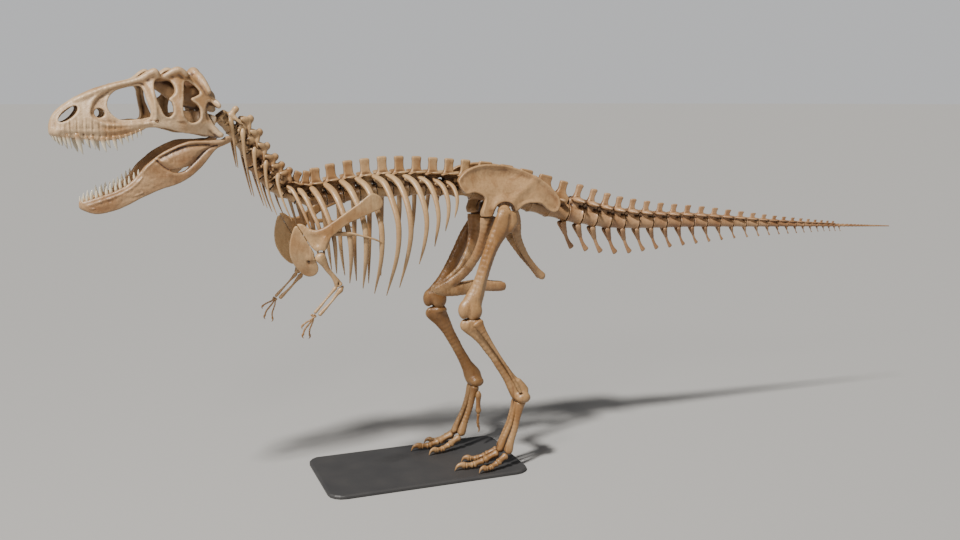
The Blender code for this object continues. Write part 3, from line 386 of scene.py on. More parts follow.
def markRecesses():
    # how shut in each point is by the bones around it, kept on the meshes for the painted shade in the
    # finish
    cell = recess["cell"]
    low = np.array(cadBox[0]) - 0.5
    count = np.ceil((np.array(cadBox[1]) + 0.5 - low) / cell).astype(int)
    full = np.zeros(count, np.float32)
    held = []
    for obj, slot, nodes in pieces:
        co, normal = pointsOf(obj.data)
        held.append((obj.data, co, normal))
        full[tuple(((co - low) / cell).astype(int).T)] = 1.0
    near = full
    for axis in range(3):
        near = (near + np.roll(near, 1, axis) + np.roll(near, -1, axis)) / 3
    for mesh, co, normal in held:
        shut = np.zeros(len(co))
        for reach in recess["reaches"]:
            at = ((co + normal * reach - low) / cell) - 0.5
            base = np.floor(at).astype(int)
            part = at - base
            for corner in np.ndindex(2, 2, 2):
                share = np.prod(np.where(corner, part, 1 - part), axis=1)
                shut = shut + share * near[tuple((base + corner).T)] / len(recess["reaches"])
        keepOn(mesh, "recess", np.clip((shut - recess["open"]) / (recess["shut"] - recess["open"]), 0, 1))


# finishes
def newNode(tree, kind, at=(0, 0), inputs=None, **values):
    made = tree.nodes.new(kind)
    made.location = at
    for key, value in values.items():
        setattr(made, key, value)
    for label, value in (inputs or {}).items():
        made.inputs[label].default_value = value
    return made


def addSockets(tree, inputs, outputs):
    for way, rows in (("INPUT", inputs), ("OUTPUT", outputs)):
        for label, kind, *value in rows:
            socket = tree.interface.new_socket(label, in_out=way, socket_type="NodeSocket" + kind)
            if value:
                socket.default_value = value[0]


def wire(tree, *links):
    # each link: a node and its output, a node and its input
    for source, output, target, entry in links:
        tree.links.new(source.outputs[output], target.inputs[entry])


def newMaterial(name, values):
    mat = bpy.data.materials.new(name)
    mat.use_nodes = True
    shader = mat.node_tree.nodes["Principled BSDF"]
    for label, value in values.items():
        shader.inputs[label].default_value = value
    return mat, mat.node_tree, shader


def makeBoneGroup():
    # colour, roughness and height of aged bone, with painted shade in the hollows and painted highlight on
    # the ridges, for every bone finish
    tree = bpy.data.node_groups.new("agedBoneWithPaintedShade", "ShaderNodeTree")
    addSockets(tree, (("Pale", "Color", (0.8, 0.66, 0.46, 1)), ("Mid", "Color", (0.62, 0.44, 0.26, 1)),
        ("Deep", "Color", (0.2, 0.08, 0.04, 1)), ("Stain", "Color", (0.45, 0.22, 0.08, 1)),
        ("Shade", "Color", (0.09, 0.036, 0.014, 1)), ("Mottle Size", "Float", 1.6), ("Grain Size", "Float",
        38.0), ("Streak", "Vector", (1.0, 1.0, 1.0)), ("Stain Amount", "Float", 0.5),
        ("Hollow Amount", "Float", 1.0)), (("Color", "Color"), ("Roughness", "Float"), ("Height", "Float")))
    link = tree.links.new
    given = newNode(tree, "NodeGroupInput", (-1400, 0)).outputs
    result = newNode(tree, "NodeGroupOutput", (900, 0)).inputs
    where = newNode(tree, "ShaderNodeTexCoord", (-1400, -300)).outputs["Object"]
    stretch = newNode(tree, "ShaderNodeVectorMath", (-1200, -300), operation="MULTIPLY")
    link(where, stretch.inputs[0])
    link(given["Streak"], stretch.inputs[1])
    stretched = stretch.outputs[0]

    def feed(value, socket):
        # a number is set, an output is linked
        if isinstance(value, (int, float)):
            socket.default_value = value
        else:
            link(value, socket)

    def noise(at, source, detail, rough, scale, warp=0.0):
        made = newNode(tree, "ShaderNodeTexNoise", at, {"Detail": detail, "Roughness": rough,
            "Distortion": warp})
        link(source, made.inputs["Vector"])
        feed(scale, made.inputs["Scale"])
        return made.outputs["Fac"]

    def ramp(at, source, low, high, bottom=0.0, top=1.0, kind="SMOOTHSTEP"):
        made = newNode(tree, "ShaderNodeMapRange", at, {"From Min": low, "From Max": high, "To Min": bottom,
            "To Max": top}, interpolation_type=kind)
        link(source, made.inputs["Value"])
        return made.outputs["Result"]

    def times(at, a, b, kind="MULTIPLY"):
        made = newNode(tree, "ShaderNodeMath", at, operation=kind)
        feed(a, made.inputs[0])
        feed(b, made.inputs[1])
        return made.outputs[0]

    def blend(at, mask, a, b, kind="MIX"):
        made = newNode(tree, "ShaderNodeMix", at, data_type="RGBA", blend_type=kind)
        feed(mask, made.inputs[0])
        link(a, made.inputs[6])
        link(b, made.inputs[7])
        return made.outputs[2]

    broad = ramp((-800, 300), noise((-1000, 300), where, 3.0, 0.55, given["Mottle Size"]), 0.36, 0.62)
    patch = ramp((-800, 100), noise((-1000, 100), stretched, 5.0, 0.62, 5.0, 0.6), 0.5, 0.74)
    streak = ramp((-800, -100), noise((-1000, -100), stretched, 6.0, 0.7, 16.0), 0.46, 0.7)
    grain = noise((-1000, -300), where, 5.0, 0.65, given["Grain Size"])
    marked = newNode(tree, "ShaderNodeAttribute", (-1400, -600), attribute_name="hollow").outputs["Fac"]
    # painted shade where other bones shut a point in, blended towards Shade
    paintedShadeShutIn = newNode(tree, "ShaderNodeAttribute", (-1400, -900), attribute_name="recess").outputs["Fac"]
    # painted shade: each bone's own hollows darkened towards Deep
    hollow = ramp((-800, -600), marked, 0.53, 0.86)
    look = blend((-500, 200), broad, given["Mid"], given["Pale"])
    # laid over the mottled base: stain in patches and streaks, painted highlight (Pale) on the ridges,
    # painted shade where bones shut each other in, painted shade in the hollows
    for at, mask, amount, over in ((-300, patch, given["Stain Amount"], "Stain"), (-100, streak, 0.22,
            "Stain"), (100, ramp((-800, -800), marked, 0.47, 0.14), 0.55, "Pale"),
            (300, ramp((-600, -900), paintedShadeShutIn, 0.05, 0.9), 0.85, "Shade"),
            (500, hollow, given["Hollow Amount"], "Deep")):
        look = blend((at, 200), times((at - 200, 0), mask, amount), look, given[over])
    link(blend((700, 200), 1.0, look, ramp((500, -150), grain, 0.2, 0.8, 0.8, 1.12, "LINEAR"), "MULTIPLY"),
        result["Color"])
    gloss = ramp((500, -300), grain, 0.3, 0.7, 0.27, 0.48, "LINEAR")
    link(times((700, -100), gloss, times((550, -300), hollow, 0.18), "ADD"), result["Roughness"])
    link(times((300, -400), times((100, -400), grain, 0.5), times((100, -550), streak, 0.5), "ADD"),
        result["Height"])
    return tree


boneGroup = makeBoneGroup()

# colours of the bones: pale tone (also the painted highlight on ridges), body, stain, and Deep, the painted
# shade in the hollows
boneLooks = {
    "headBone": {"Pale": (0.62, 0.44, 0.265), "Mid": (0.4, 0.225, 0.1), "Deep": (0.042, 0.013, 0.006),
        "Stain": (0.24, 0.1, 0.034), "Streak": (1.0, 1.0, 1.0), "Stain Amount": 0.42, "bump": 0.0045},
    "jawBone": {"Pale": (0.42, 0.26, 0.135), "Mid": (0.28, 0.145, 0.062), "Deep": (0.038, 0.012, 0.006),
        "Stain": (0.19, 0.076, 0.027), "Streak": (0.55, 1.0, 1.3), "Stain Amount": 0.5, "bump": 0.004},
    "bodyBone": {"Pale": (0.5, 0.325, 0.165), "Mid": (0.31, 0.16, 0.062), "Deep": (0.032, 0.01, 0.005),
        "Stain": (0.19, 0.073, 0.02), "Streak": (1.0, 1.0, 0.4), "Stain Amount": 0.55, "bump": 0.004},
    "hipBone": {"Pale": (0.46, 0.28, 0.135), "Mid": (0.3, 0.15, 0.06), "Deep": (0.036, 0.011, 0.006),
        "Stain": (0.19, 0.072, 0.022), "Streak": (1.0, 1.0, 0.7), "Stain Amount": 0.5, "bump": 0.004},
    "tailBone": {"Pale": (0.44, 0.26, 0.13), "Mid": (0.28, 0.135, 0.06), "Deep": (0.034, 0.01, 0.005),
        "Stain": (0.19, 0.069, 0.022), "Streak": (1.0, 1.0, 1.0), "Stain Amount": 0.5, "bump": 0.004},
    "legBone": {"Pale": (0.4, 0.235, 0.105), "Mid": (0.26, 0.125, 0.042), "Deep": (0.034, 0.01, 0.005),
        "Stain": (0.18, 0.066, 0.017), "Streak": (1.5, 1.5, 0.35), "Stain Amount": 0.6, "bump": 0.004},
}


def makeBone(name, look):
    mat, tree, shader = newMaterial(name, {"Specular IOR Level": 0.55})
    group = newNode(tree, "ShaderNodeGroup", (-400, 100), node_tree=boneGroup)
    for label, value in look.items():
        if label != "bump":
            group.inputs[label].default_value = (*value, 1.0) if label in ("Pale", "Mid", "Deep",
                "Stain") else value
    bump = newNode(tree, "ShaderNodeBump", (-200, -250), {"Strength": 0.65, "Distance": look["bump"]})
    wire(tree, (group, "Color", shader, "Base Color"), (group, "Roughness", shader, "Roughness"),
        (group, "Height", bump, "Height"), (bump, "Normal", shader, "Normal"))
    return mat


bone = {name: makeBone(name, look) for name, look in boneLooks.items()}
print("finishes made")


# head: u runs forward from the back of the skull, v to the side, w up
head = {
    "at": np.array((-3.605, -0.16, 4.703)), "turn": 12.0, "step": 0.0095,
    "roofTops": ((0.08, 0.28), (0.2, 0.4), (0.45, 0.43), (0.6, 0.42), (0.75, 0.41), (0.95, 0.37),
        (1.16, 0.325), (1.37, 0.265), (1.57, 0.17), (1.72, 0.06), (1.82, -0.04), (1.87, -0.14)),
    "roofHalves": ((0.08, 0.12), (0.3, 0.17), (0.45, 0.205), (0.62, 0.18), (0.75, 0.19), (0.95, 0.135),
        (1.37, 0.095), (1.72, 0.065), (1.87, 0.03)),
    "cheekHalves": ((0.08, 0.28), (0.3, 0.315), (0.45, 0.32), (0.75, 0.285), (1.15, 0.215), (1.55, 0.155),
        (1.74, 0.12), (1.82, 0.085), (1.87, 0.045)),
    "jawEdges": ((0.0, -0.27), (0.08, -0.27), (0.3, -0.25), (0.53, -0.21), (0.69, -0.17), (0.85, -0.16),
        (1.01, -0.23), (1.17, -0.28), (1.33, -0.295), (1.67, -0.255), (1.8, -0.24), (1.87, -0.21)),
    "side": ((1.862, -0.225), (1.872, -0.14), (1.835, -0.035), (1.73, 0.075), (1.57, 0.172), (1.37, 0.262),
        (1.16, 0.322), (1.0, 0.362), (0.88, 0.405), (0.8, 0.452), (0.74, 0.468), (0.695, 0.43),
        (0.655, 0.405), (0.6, 0.425), (0.53, 0.475), (0.475, 0.492), (0.41, 0.465), (0.33, 0.42),
        (0.25, 0.375), (0.175, 0.315), (0.115, 0.225), (0.075, 0.14), (0.045, 0.085), (0.075, 0.075),
        (0.13, 0.115), (0.175, 0.11), (0.212, 0.04), (0.21, -0.06), (0.165, -0.135), (0.1, -0.185),
        (0.035, -0.235), (0.02, -0.275), (0.07, -0.292), (0.18, -0.268), (0.3, -0.245), (0.43, -0.233),
        (0.53, -0.205), (0.69, -0.165), (0.85, -0.163), (0.92, -0.195), (1.01, -0.232), (1.17, -0.28),
        (1.33, -0.296), (1.48, -0.286), (1.67, -0.258), (1.8, -0.248)),
    "eye": ((0.72, 0.375), (0.66, 0.388), (0.595, 0.368), (0.548, 0.315), (0.533, 0.25), (0.557, 0.198),
        (0.612, 0.15), (0.59, 0.115), (0.577, 0.07), (0.575, 0.01), (0.6, -0.035), (0.638, -0.05),
        (0.682, -0.02), (0.712, 0.05), (0.745, 0.13), (0.765, 0.23), (0.757, 0.32)),
    "greatWindow": ((1.268, 0.09), (1.238, 0.17), (1.175, 0.232), (1.08, 0.272), (0.98, 0.29),
        (0.905, 0.292), (0.868, 0.25), (0.852, 0.17), (0.835, 0.09), (0.815, 0.02), (0.825, -0.045),
        (0.87, -0.075), (0.95, -0.07), (1.05, -0.078), (1.14, -0.072), (1.213, -0.03), (1.257, 0.03)),
    "rearWindow": ((0.425, 0.33), (0.385, 0.352), (0.31, 0.305), (0.255, 0.24), (0.255, 0.205),
        (0.31, 0.178), (0.368, 0.156), (0.352, 0.122), (0.3, 0.08), (0.272, 0.02), (0.277, -0.06),
        (0.32, -0.105), (0.38, -0.115), (0.44, -0.078), (0.474, 0.0), (0.474, 0.08), (0.455, 0.17),
        (0.44, 0.25)),
    "fossa": ((1.445, -0.03), (1.43, 0.08), (1.37, 0.165), (1.26, 0.235), (1.12, 0.285), (0.97, 0.325),
        (0.86, 0.315), (0.815, 0.2), (0.79, 0.05), (0.8, -0.085), (0.95, -0.105), (1.15, -0.115),
        (1.32, -0.1)),
    "wall": 0.021, "muzzle": 0.966,
}
headTurn = math.radians(head["turn"])
headAxes = np.array(((-math.cos(headTurn), math.sin(headTurn), 0), (-math.sin(headTurn),
    -math.cos(headTurn), 0), (0, 0, 1)))
# openings that are ovals: middle, half width, half height, tilt
headOvals = {
    "nostril": ((1.682, -0.008), 0.128, 0.047, -38), "smallWindow": ((1.357, 0.002), 0.056, 0.05, 0),
    "pit": ((0.757, -0.088), 0.024, 0.015, 0),
}


def drawnBack(u, muzzle):
    # the part before the eyes, drawn back a little
    return np.where(np.asarray(u) > 0.7, 0.7 + (np.asarray(u) - 0.7) * muzzle, u)


def headPlace(points, muzzle):
    points = np.array(points, float)
    points[:, 0] = drawnBack(points[:, 0], muzzle)
    return place(points, headAxes, head["at"] + body["hip"])


def ovalOutline(centre, wide, tall, tilt, count=20):
    t = np.linspace(0, 2 * math.pi, count, endpoint=False)
    a, b, c = wide * np.cos(t), tall * np.sin(t), math.radians(tilt)
    return np.stack([centre[0] + a * math.cos(c) - b * math.sin(c), centre[1] + a * math.sin(c) + b
        * math.cos(c)], 1)


def falloff(distance, reach):
    return np.exp(-(np.maximum(distance, 0) / reach) ** 2)


def makeSkull():
    clay = Clay((-0.03, -0.4, -0.34), (1.9, 0.4, 0.58), head["step"])
    u, v, w = clay.grid()
    u2, w2 = u[:, 0, :], w[0, 0, :][None, :]
    top = easeTable(head["roofTops"], u2)
    low = easeTable(head["jawEdges"], u2)
    roof = easeTable(head["roofHalves"], u2)
    cheek = easeTable(head["cheekHalves"], u2)
    down = np.clip((top - w2) / (top - low), 0, 1.15)
    half = roof + (cheek - roof) * np.sin(np.minimum(down / 0.66, 1.0) * math.pi / 2) ** 1.3
    half = half - 0.035 * np.clip(down - 0.72, 0, 1) / 0.3
    side = outlineDistance(spline(head["side"], 4, True), u2, w2)
    windows = {name: outlineDistance(spline(head[name], 4, True), u2, w2) for name in ("eye", "greatWindow",
        "rearWindow")}
    windows.update({name: outlineDistance(ovalOutline(*oval), u2, w2) for name, oval in headOvals.items()})
    region = side
    for distance in windows.values():
        region = softMax(region, -distance, 0.012)
    # relief of the outer face: sunken fossa, raised rims, nasal edge, cheek ridges
    fossa = outlineDistance(spline(head["fossa"], 4, True), u2, w2)
    sink = 0.03 * (1 / (1 + np.exp(fossa / 0.009)))
    relief = -sink
    for name, high, reach in (("eye", 0.01, 0.028), ("greatWindow", 0.008, 0.02), ("rearWindow", 0.008,
            0.026), ("nostril", 0.008, 0.022), ("smallWindow", 0.004, 0.016)):
        relief = relief + high * falloff(np.abs(windows[name]), reach)
    relief = relief + 0.012 * falloff(np.abs(fossa - 0.012), 0.022) * (u2 > 0.7)
    # lacrimal and postorbital pillars, jugal bar
    relief = relief + 0.02 * falloff(np.abs(u2 - 0.795 + 0.06 * (w2 - 0.1)),
        0.045) * (w2 > -0.08) * (w2 < 0.45)
    relief = relief + 0.016 * falloff(np.abs(u2 - 0.5), 0.05) * (w2 > -0.1)
    relief = relief + 0.01 * falloff(np.abs(w2 + 0.14), 0.05) * (u2 < 0.8)
    maxilla = (1 / (1 + np.exp(-(u2 - 0.93) / 0.05))) / (1
        + np.exp((w2 - (-0.1 + 0.19 * np.clip(u2 - 1.3, 0, 0.4))) / 0.018))
    fan = u2 + 0.16 * (w2 + 0.2) * (u2 - 1.1)
    grid3 = np.stack(np.broadcast_arrays(u2, 0 * u2, w2), -1)
    warp = lumps(grid3 * np.array((1, 1, 0.5)), 0.06, 5)
    ribs = np.sin(2 * math.pi * fan / 0.058 + 1.3 * warp) * 0.5 + 0.5 * np.sin(2 * math.pi * fan / 0.033
        + 2.1 * warp)
    relief = relief + maxilla * (0.0072 * ribs * np.clip((u2 - 1.05) / 0.2, 0.35, 1) + 0.0022 * lumps(grid3,
        0.022, 9))
    relief = relief + 0.006 * falloff(np.abs(w2 - low - 0.014), 0.02) * (u2 > 0.9)
    # wall between an outer and an inner face
    thick = head["wall"] * (1 + 0.35 * falloff(np.abs(region), 0.03) + 0.5 * falloff(np.abs(w2 - low), 0.05)
        * (u2 > 0.9))
    outer = (half + relief)[:, None, :]
    inner = (half - 2 * thick + 0.45 * relief)[:, None, :]
    wallOuter = np.abs(v) - outer
    wallInner = inner - np.abs(v)
    wall = np.maximum(wallOuter, wallInner) * 0.92
    flat = region[:, None, :] + 0 * v
    clay.put(roundMeet(flat, wall + 0 * flat, 0.015), 0.0)
    # roof between the sides, with an opening either side of the crest
    crown = easeTable(head["roofTops"], u) - 0.03
    wide = easeTable(head["roofHalves"], u)
    slab = np.abs(w - (crown - 0.3 * np.maximum(np.abs(v) - 0.05, 0) ** 1.3)) - 0.024
    spread = np.abs(v) - wide + 0.02 + 0 * u
    ends = np.maximum(u - 1.8, 0.17 - u)
    spread = np.maximum(spread, ends)
    for s in (-1, 1):
        hole = np.sqrt(((u - 0.36) / 1.25) ** 2 + (v - s * 0.105) ** 2) - 0.062
        spread = softMax(spread, -hole, 0.01)
    clay.put(roundMeet(spread + 0 * slab, slab + 0 * spread, 0.018), 0.035)
    # snout: bar between the nostrils and the closed front
    clay.limb(((1.835, 0, -0.2), (1.845, 0, -0.12), (1.8, 0, -0.02), (1.7, 0, 0.07), (1.56, 0, 0.15)),
        ((0.055, 0.03), (0.045, 0.028), (0.03, 0.026), (0.032, 0.028), (0.05, 0.03)), soft=0.03)
    clay.limb(((1.8, -0.07, -0.19), (1.83, 0, -0.2), (1.8, 0.07, -0.19)), ((0.04, 0.045),) * 3,
        across=(1, 0, 0), soft=0.03)
    for s in (-1, 1):
        # shelf of the palate inside the tooth row
        clay.limb(((1.76, s * 0.06, -0.175), (1.5, s * 0.105, -0.19), (1.2, s * 0.15, -0.19),
            (0.96, s * 0.19, -0.15)), ((0.045, 0.016), (0.05, 0.018), (0.05, 0.018), (0.04, 0.015)),
            soft=0.03)
        # pterygoid and the struts to it
        clay.limb(((0.1, s * 0.21, -0.12), (0.3, s * 0.1, -0.06), (0.62, s * 0.055, -0.07),
            (1.0, s * 0.05, -0.13), (1.4, s * 0.03, -0.17)), ((0.02, 0.085), (0.02, 0.085), (0.016, 0.055),
            (0.014, 0.035), (0.012, 0.02)))
        clay.limb(((0.86, s * 0.25, -0.11), (0.74, s * 0.16, -0.12), (0.62, s * 0.08, -0.08)),
            ((0.03, 0.02), (0.035, 0.018), (0.04, 0.02)))
        # quadrate with its two knobs, and the foot of the cheek
        clay.limb(((0.235, s * 0.23, 0.14), (0.212, s * 0.24, 0.0), (0.16, s * 0.262, -0.14),
            (0.085, s * 0.275, -0.235)), ((0.028, 0.03), (0.024, 0.03), (0.03, 0.034), (0.05, 0.036)),
            soft=0.025)
        clay.ball((0.062, s * 0.25, -0.255), (0.036, 0.036, 0.03), 0.02)
        clay.ball((0.058, s * 0.3, -0.255), (0.036, 0.034, 0.03), 0.02)
        # wings of the back of the skull
        clay.limb(((0.15, s * 0.03, 0.13), (0.115, s * 0.13, 0.13), (0.07, s * 0.21, 0.1),
            (0.045, s * 0.265, 0.07)), ((0.035, 0.07), (0.026, 0.052), (0.024, 0.045), (0.022, 0.035)),
            across=(1, 0, 0), soft=0.03)
        # crest across the back of the head
        clay.limb(((0.245, s * 0.03, 0.425), (0.215, s * 0.12, 0.385), (0.185, s * 0.19, 0.32),
            (0.15, s * 0.235, 0.235)), ((0.05, 0.06), (0.045, 0.05), (0.036, 0.04), (0.026, 0.034)),
            across=(1, 0, 0), soft=0.045)
        clay.limb(((0.2, s * 0.09, 0.4), (0.15, s * 0.12, 0.27), (0.12, s * 0.1, 0.16)),
            ((0.025, 0.03), (0.022, 0.028), (0.03, 0.03)), soft=0.03)
        # boss over the eye in front, brow boss behind
        clay.limb(((0.86, s * 0.175, 0.385), (0.785, s * 0.196, 0.432), (0.735, s * 0.205, 0.448),
            (0.715, s * 0.205, 0.41)), ((0.026, 0.022), (0.032, 0.03), (0.034, 0.03), (0.026, 0.026)),
            soft=0.055)
        clay.limb(((0.61, s * 0.195, 0.41), (0.53, s * 0.212, 0.455), (0.47, s * 0.22, 0.468),
            (0.4, s * 0.225, 0.425)), ((0.022, 0.018), (0.03, 0.026), (0.032, 0.028), (0.024, 0.026)),
            soft=0.055)
        clay.limb(((0.66, s * 0.17, 0.385), (0.6, s * 0.18, 0.39)), ((0.03, 0.02), (0.03, 0.02)), soft=0.03)
        # nasal edge from the nostril to the front boss
        clay.limb(((1.6, s * 0.078, 0.135), (1.37, s * 0.105, 0.232), (1.16, s * 0.128, 0.298),
            (0.97, s * 0.152, 0.345), (0.86, s * 0.172, 0.38)), ((0.014, 0.014), (0.017, 0.018),
            (0.018, 0.018), (0.02, 0.02), (0.022, 0.022)), soft=0.025)
    clay.ball((0.245, 0, 0.442), (0.06, 0.085, 0.066), 0.04)
    clay.limb(((0.25, 0, 0.42), (0.34, 0, 0.405), (0.44, 0, 0.4)), ((0.05, 0.035), (0.05, 0.03),
        (0.04, 0.02)), soft=0.04)
    # braincase, condyle and the block under it
    clay.limb(((0.11, 0, 0.14), (0.24, 0, 0.2), (0.42, 0, 0.24), (0.62, 0, 0.31), (0.74, 0, 0.35)),
        ((0.1, 0.12), (0.115, 0.17), (0.085, 0.15), (0.055, 0.09), (0.04, 0.05)), soft=0.04)
    clay.limb(((0.13, 0, 0.06), (0.2, 0, -0.03), (0.24, 0, -0.11)), ((0.07, 0.05), (0.08, 0.045),
        (0.09, 0.03)), soft=0.03)
    clay.ball((0.055, 0, 0.035), (0.05, 0.045, 0.04), 0.02)
    clay.ball((0.075, 0, 0.135), (0.06, 0.03, 0.032), 0.015, carve=True)
    verts, quads = clay.skin(2)
    verts = roughen(verts, quads, ((0.11, 0.003, 21), (0.035, 0.0016, 22)))
    return headPlace(verts, head["muzzle"]), quads


jaw = {
    "side": ((1.64, -0.965), (1.635, -1.02), (1.585, -1.07), (1.52, -1.092), (1.42, -1.095), (1.22, -1.05),
        (0.99, -0.945), (0.76, -0.855), (0.56, -0.795), (0.39, -0.7), (0.24, -0.56), (0.12, -0.425),
        (0.02, -0.375), (-0.055, -0.345), (-0.083, -0.305), (-0.055, -0.272), (-0.005, -0.278),
        (0.035, -0.315), (0.085, -0.322), (0.15, -0.32), (0.25, -0.315), (0.36, -0.315), (0.47, -0.333),
        (0.64, -0.405), (0.79, -0.492), (0.91, -0.585), (0.99, -0.67), (1.11, -0.78), (1.27, -0.855),
        (1.41, -0.9), (1.52, -0.935), (1.6, -0.955)),
    "halves": ((-0.08, 0.262), (0.1, 0.285), (0.42, 0.272), (0.76, 0.218), (1.12, 0.16), (1.46, 0.098),
        (1.6, 0.058), (1.64, 0.038)),
    "plate": ((0.8, -0.505), (0.755, -0.565), (0.69, -0.622), (0.61, -0.66), (0.53, -0.668),
        (0.455, -0.635), (0.36, -0.555), (0.26, -0.455), (0.17, -0.395), (0.1, -0.372), (0.19, -0.358),
        (0.3, -0.355), (0.42, -0.362), (0.53, -0.39), (0.66, -0.445), (0.74, -0.482)),
    "crescent": ((0.635, -0.65), (0.59, -0.628), (0.53, -0.622), (0.465, -0.606), (0.432, -0.598),
        (0.45, -0.625), (0.5, -0.655), (0.565, -0.67)),
    "step": 0.0075, "muzzle": 0.926,
}


def makeJaw(side):
    clay = Clay((-0.1, -0.02, -1.12), (1.68, 0.34, -0.24), jaw["step"])
    u, v, w = clay.grid()
    u2, w2 = u[:, 0, :], w[0, 0, :][None, :]
    line = easeTable(jaw["halves"], u2)
    edge = outlineDistance(spline(jaw["side"], 4, True), u2, w2)
    plate = outlineDistance(spline(jaw["plate"], 4, True), u2, w2)
    crescent = outlineDistance(spline(jaw["crescent"], 4, True), u2, w2)
    region = softMax(edge, -crescent, 0.006)
    deep = np.clip(-edge / 0.1, 0, 1)
    sunk = 1 / (1 + np.exp(plate / 0.0055))
    bulge = np.clip(-plate / 0.075, 0, 1)
    out = 0.02 + 0.014 * np.sqrt(deep) - 0.034 * sunk + 0.04 * sunk * np.sin(bulge * math.pi / 2)
    out = out + 0.01 * falloff(np.abs(edge + 0.018), 0.014) * (w2 > -0.3 - 0.55 * np.maximum(u2,
        0)) * (u2 < 0.95)
    out = out + 0.009 * falloff(np.abs(edge + 0.05), 0.012) * (u2 > 0.95) * (w2 > -0.62 - 0.28 * u2)
    grid3 = np.stack(np.broadcast_arrays(u2 * 0.5, 0 * u2, w2), -1)
    out = out + 0.0035 * lumps(grid3, 0.03, 31) * (u2 > 0.6)
    back = -0.02 - 0.01 * np.sqrt(deep) + 0.012 * np.sqrt(deep) * (u2 < 0.9)
    wall = np.maximum(v - (line + out)[:, None, :], (line + back)[:, None, :] - v) * 0.95
    wall = np.maximum(wall, 0.004 - v)
    flat = region[:, None, :] + 0 * v
    clay.put(roundMeet(flat, wall + 0 * flat, 0.014), 0.0)
    # joint hollow, tail of the jaw, chin
    clay.limb(((0.16, 0.285, -0.345), (0.06, 0.278, -0.335), (0.0, 0.272, -0.315), (-0.055, 0.262, -0.305)),
        ((0.03, 0.026), (0.045, 0.024), (0.036, 0.024), (0.022, 0.026)), soft=0.02)
    clay.ball((0.055, 0.275, -0.275), (0.045, 0.06, 0.034), 0.012, carve=True)
    clay.limb(((1.5, 0.08, -1.0), (1.585, 0.045, -1.01), (1.615, 0.028, -1.0)),
        ((0.03, 0.06), (0.034, 0.055), (0.03, 0.045)), soft=0.02)
    clay.put(np.broadcast_to(v - 0.003, clay.field.shape), 0.004, carve=True)
    verts, quads = clay.skin(2)
    verts = roughen(verts, quads, ((0.1, 0.0028, 41), (0.03, 0.0014, 42)))
    if side < 0:
        verts, quads = mirrored(verts, quads)
    return headPlace(verts, jaw["muzzle"]), quads


# teeth, from the front back: (place, length, width in mm at half size)
teeth = {
    "upper": ((1.852, 0.085, 7), (1.822, 0.095, 8), (1.787, 0.115, 9), (1.748, 0.125, 9), (1.705, 0.15, 11),
        (1.6, 0.19, 15), (1.508, 0.1, 9), (1.45, 0.128, 11), (1.345, 0.155, 12), (1.292, 0.085, 9),
        (1.22, 0.135, 11), (1.152, 0.095, 9), (1.092, 0.088, 9), (1.038, 0.08, 8), (0.988, 0.074, 7),
        (0.943, 0.062, 7)),
    "lower": ((1.618, 0.07, 6), (1.575, 0.085, 8), (1.525, 0.105, 9), (1.47, 0.09, 9), (1.415, 0.125, 10),
        (1.358, 0.1, 10), (1.303, 0.122, 10), (1.248, 0.098, 9), (1.198, 0.104, 10), (1.147, 0.1, 9),
        (1.095, 0.09, 9), (1.043, 0.082, 8), (0.993, 0.064, 7)),
    "around": 12, "rings": 9,
}


# growing what repeats
def readPoints(tree, at, label, kind="FLOAT_VECTOR"):
    return newNode(tree, "GeometryNodeInputNamedAttribute", at, {"Name": label}, data_type=kind)


def makePlanter():
    # sets a copy of a part at each point, turned and sized by what the point carries
    tree = bpy.data.node_groups.new("plantParts", "GeometryNodeTree")
    addSockets(tree, (("Geometry", "Geometry"), ("Part", "Object"), ("Overall Size", "Float", 1.0),
        ("Finish", "Material")), (("Geometry", "Geometry"),))
    given = newNode(tree, "NodeGroupInput", (-800, 0))
    result = newNode(tree, "NodeGroupOutput", (800, 0))
    part = newNode(tree, "GeometryNodeObjectInfo", (-600, -200))
    turn, size = readPoints(tree, (-600, -400), "turn"), readPoints(tree, (-600, -600), "size")
    spin = newNode(tree, "FunctionNodeEulerToRotation", (-400, -400))
    grow = newNode(tree, "ShaderNodeVectorMath", (-400, -600), operation="SCALE")
    plant = newNode(tree, "GeometryNodeInstanceOnPoints", (-100, 0))
    real = newNode(tree, "GeometryNodeRealizeInstances", (200, 0))
    finish = newNode(tree, "GeometryNodeSetMaterial", (500, 0))
    wire(tree, (given, "Part", part, "Object"), (turn, "Attribute", spin, "Euler"), (size, "Attribute",
        grow, 0), (given, "Overall Size", grow, "Scale"), (given, "Geometry", plant, "Points"),
        (part, "Geometry", plant, "Instance"), (spin, "Rotation", plant, "Rotation"),
        (grow, "Vector", plant, "Scale"), (plant, "Instances", real, "Geometry"), (real, "Geometry", finish,
        "Geometry"), (given, "Finish", finish, "Material"), (finish, "Geometry", result, "Geometry"))
    return tree


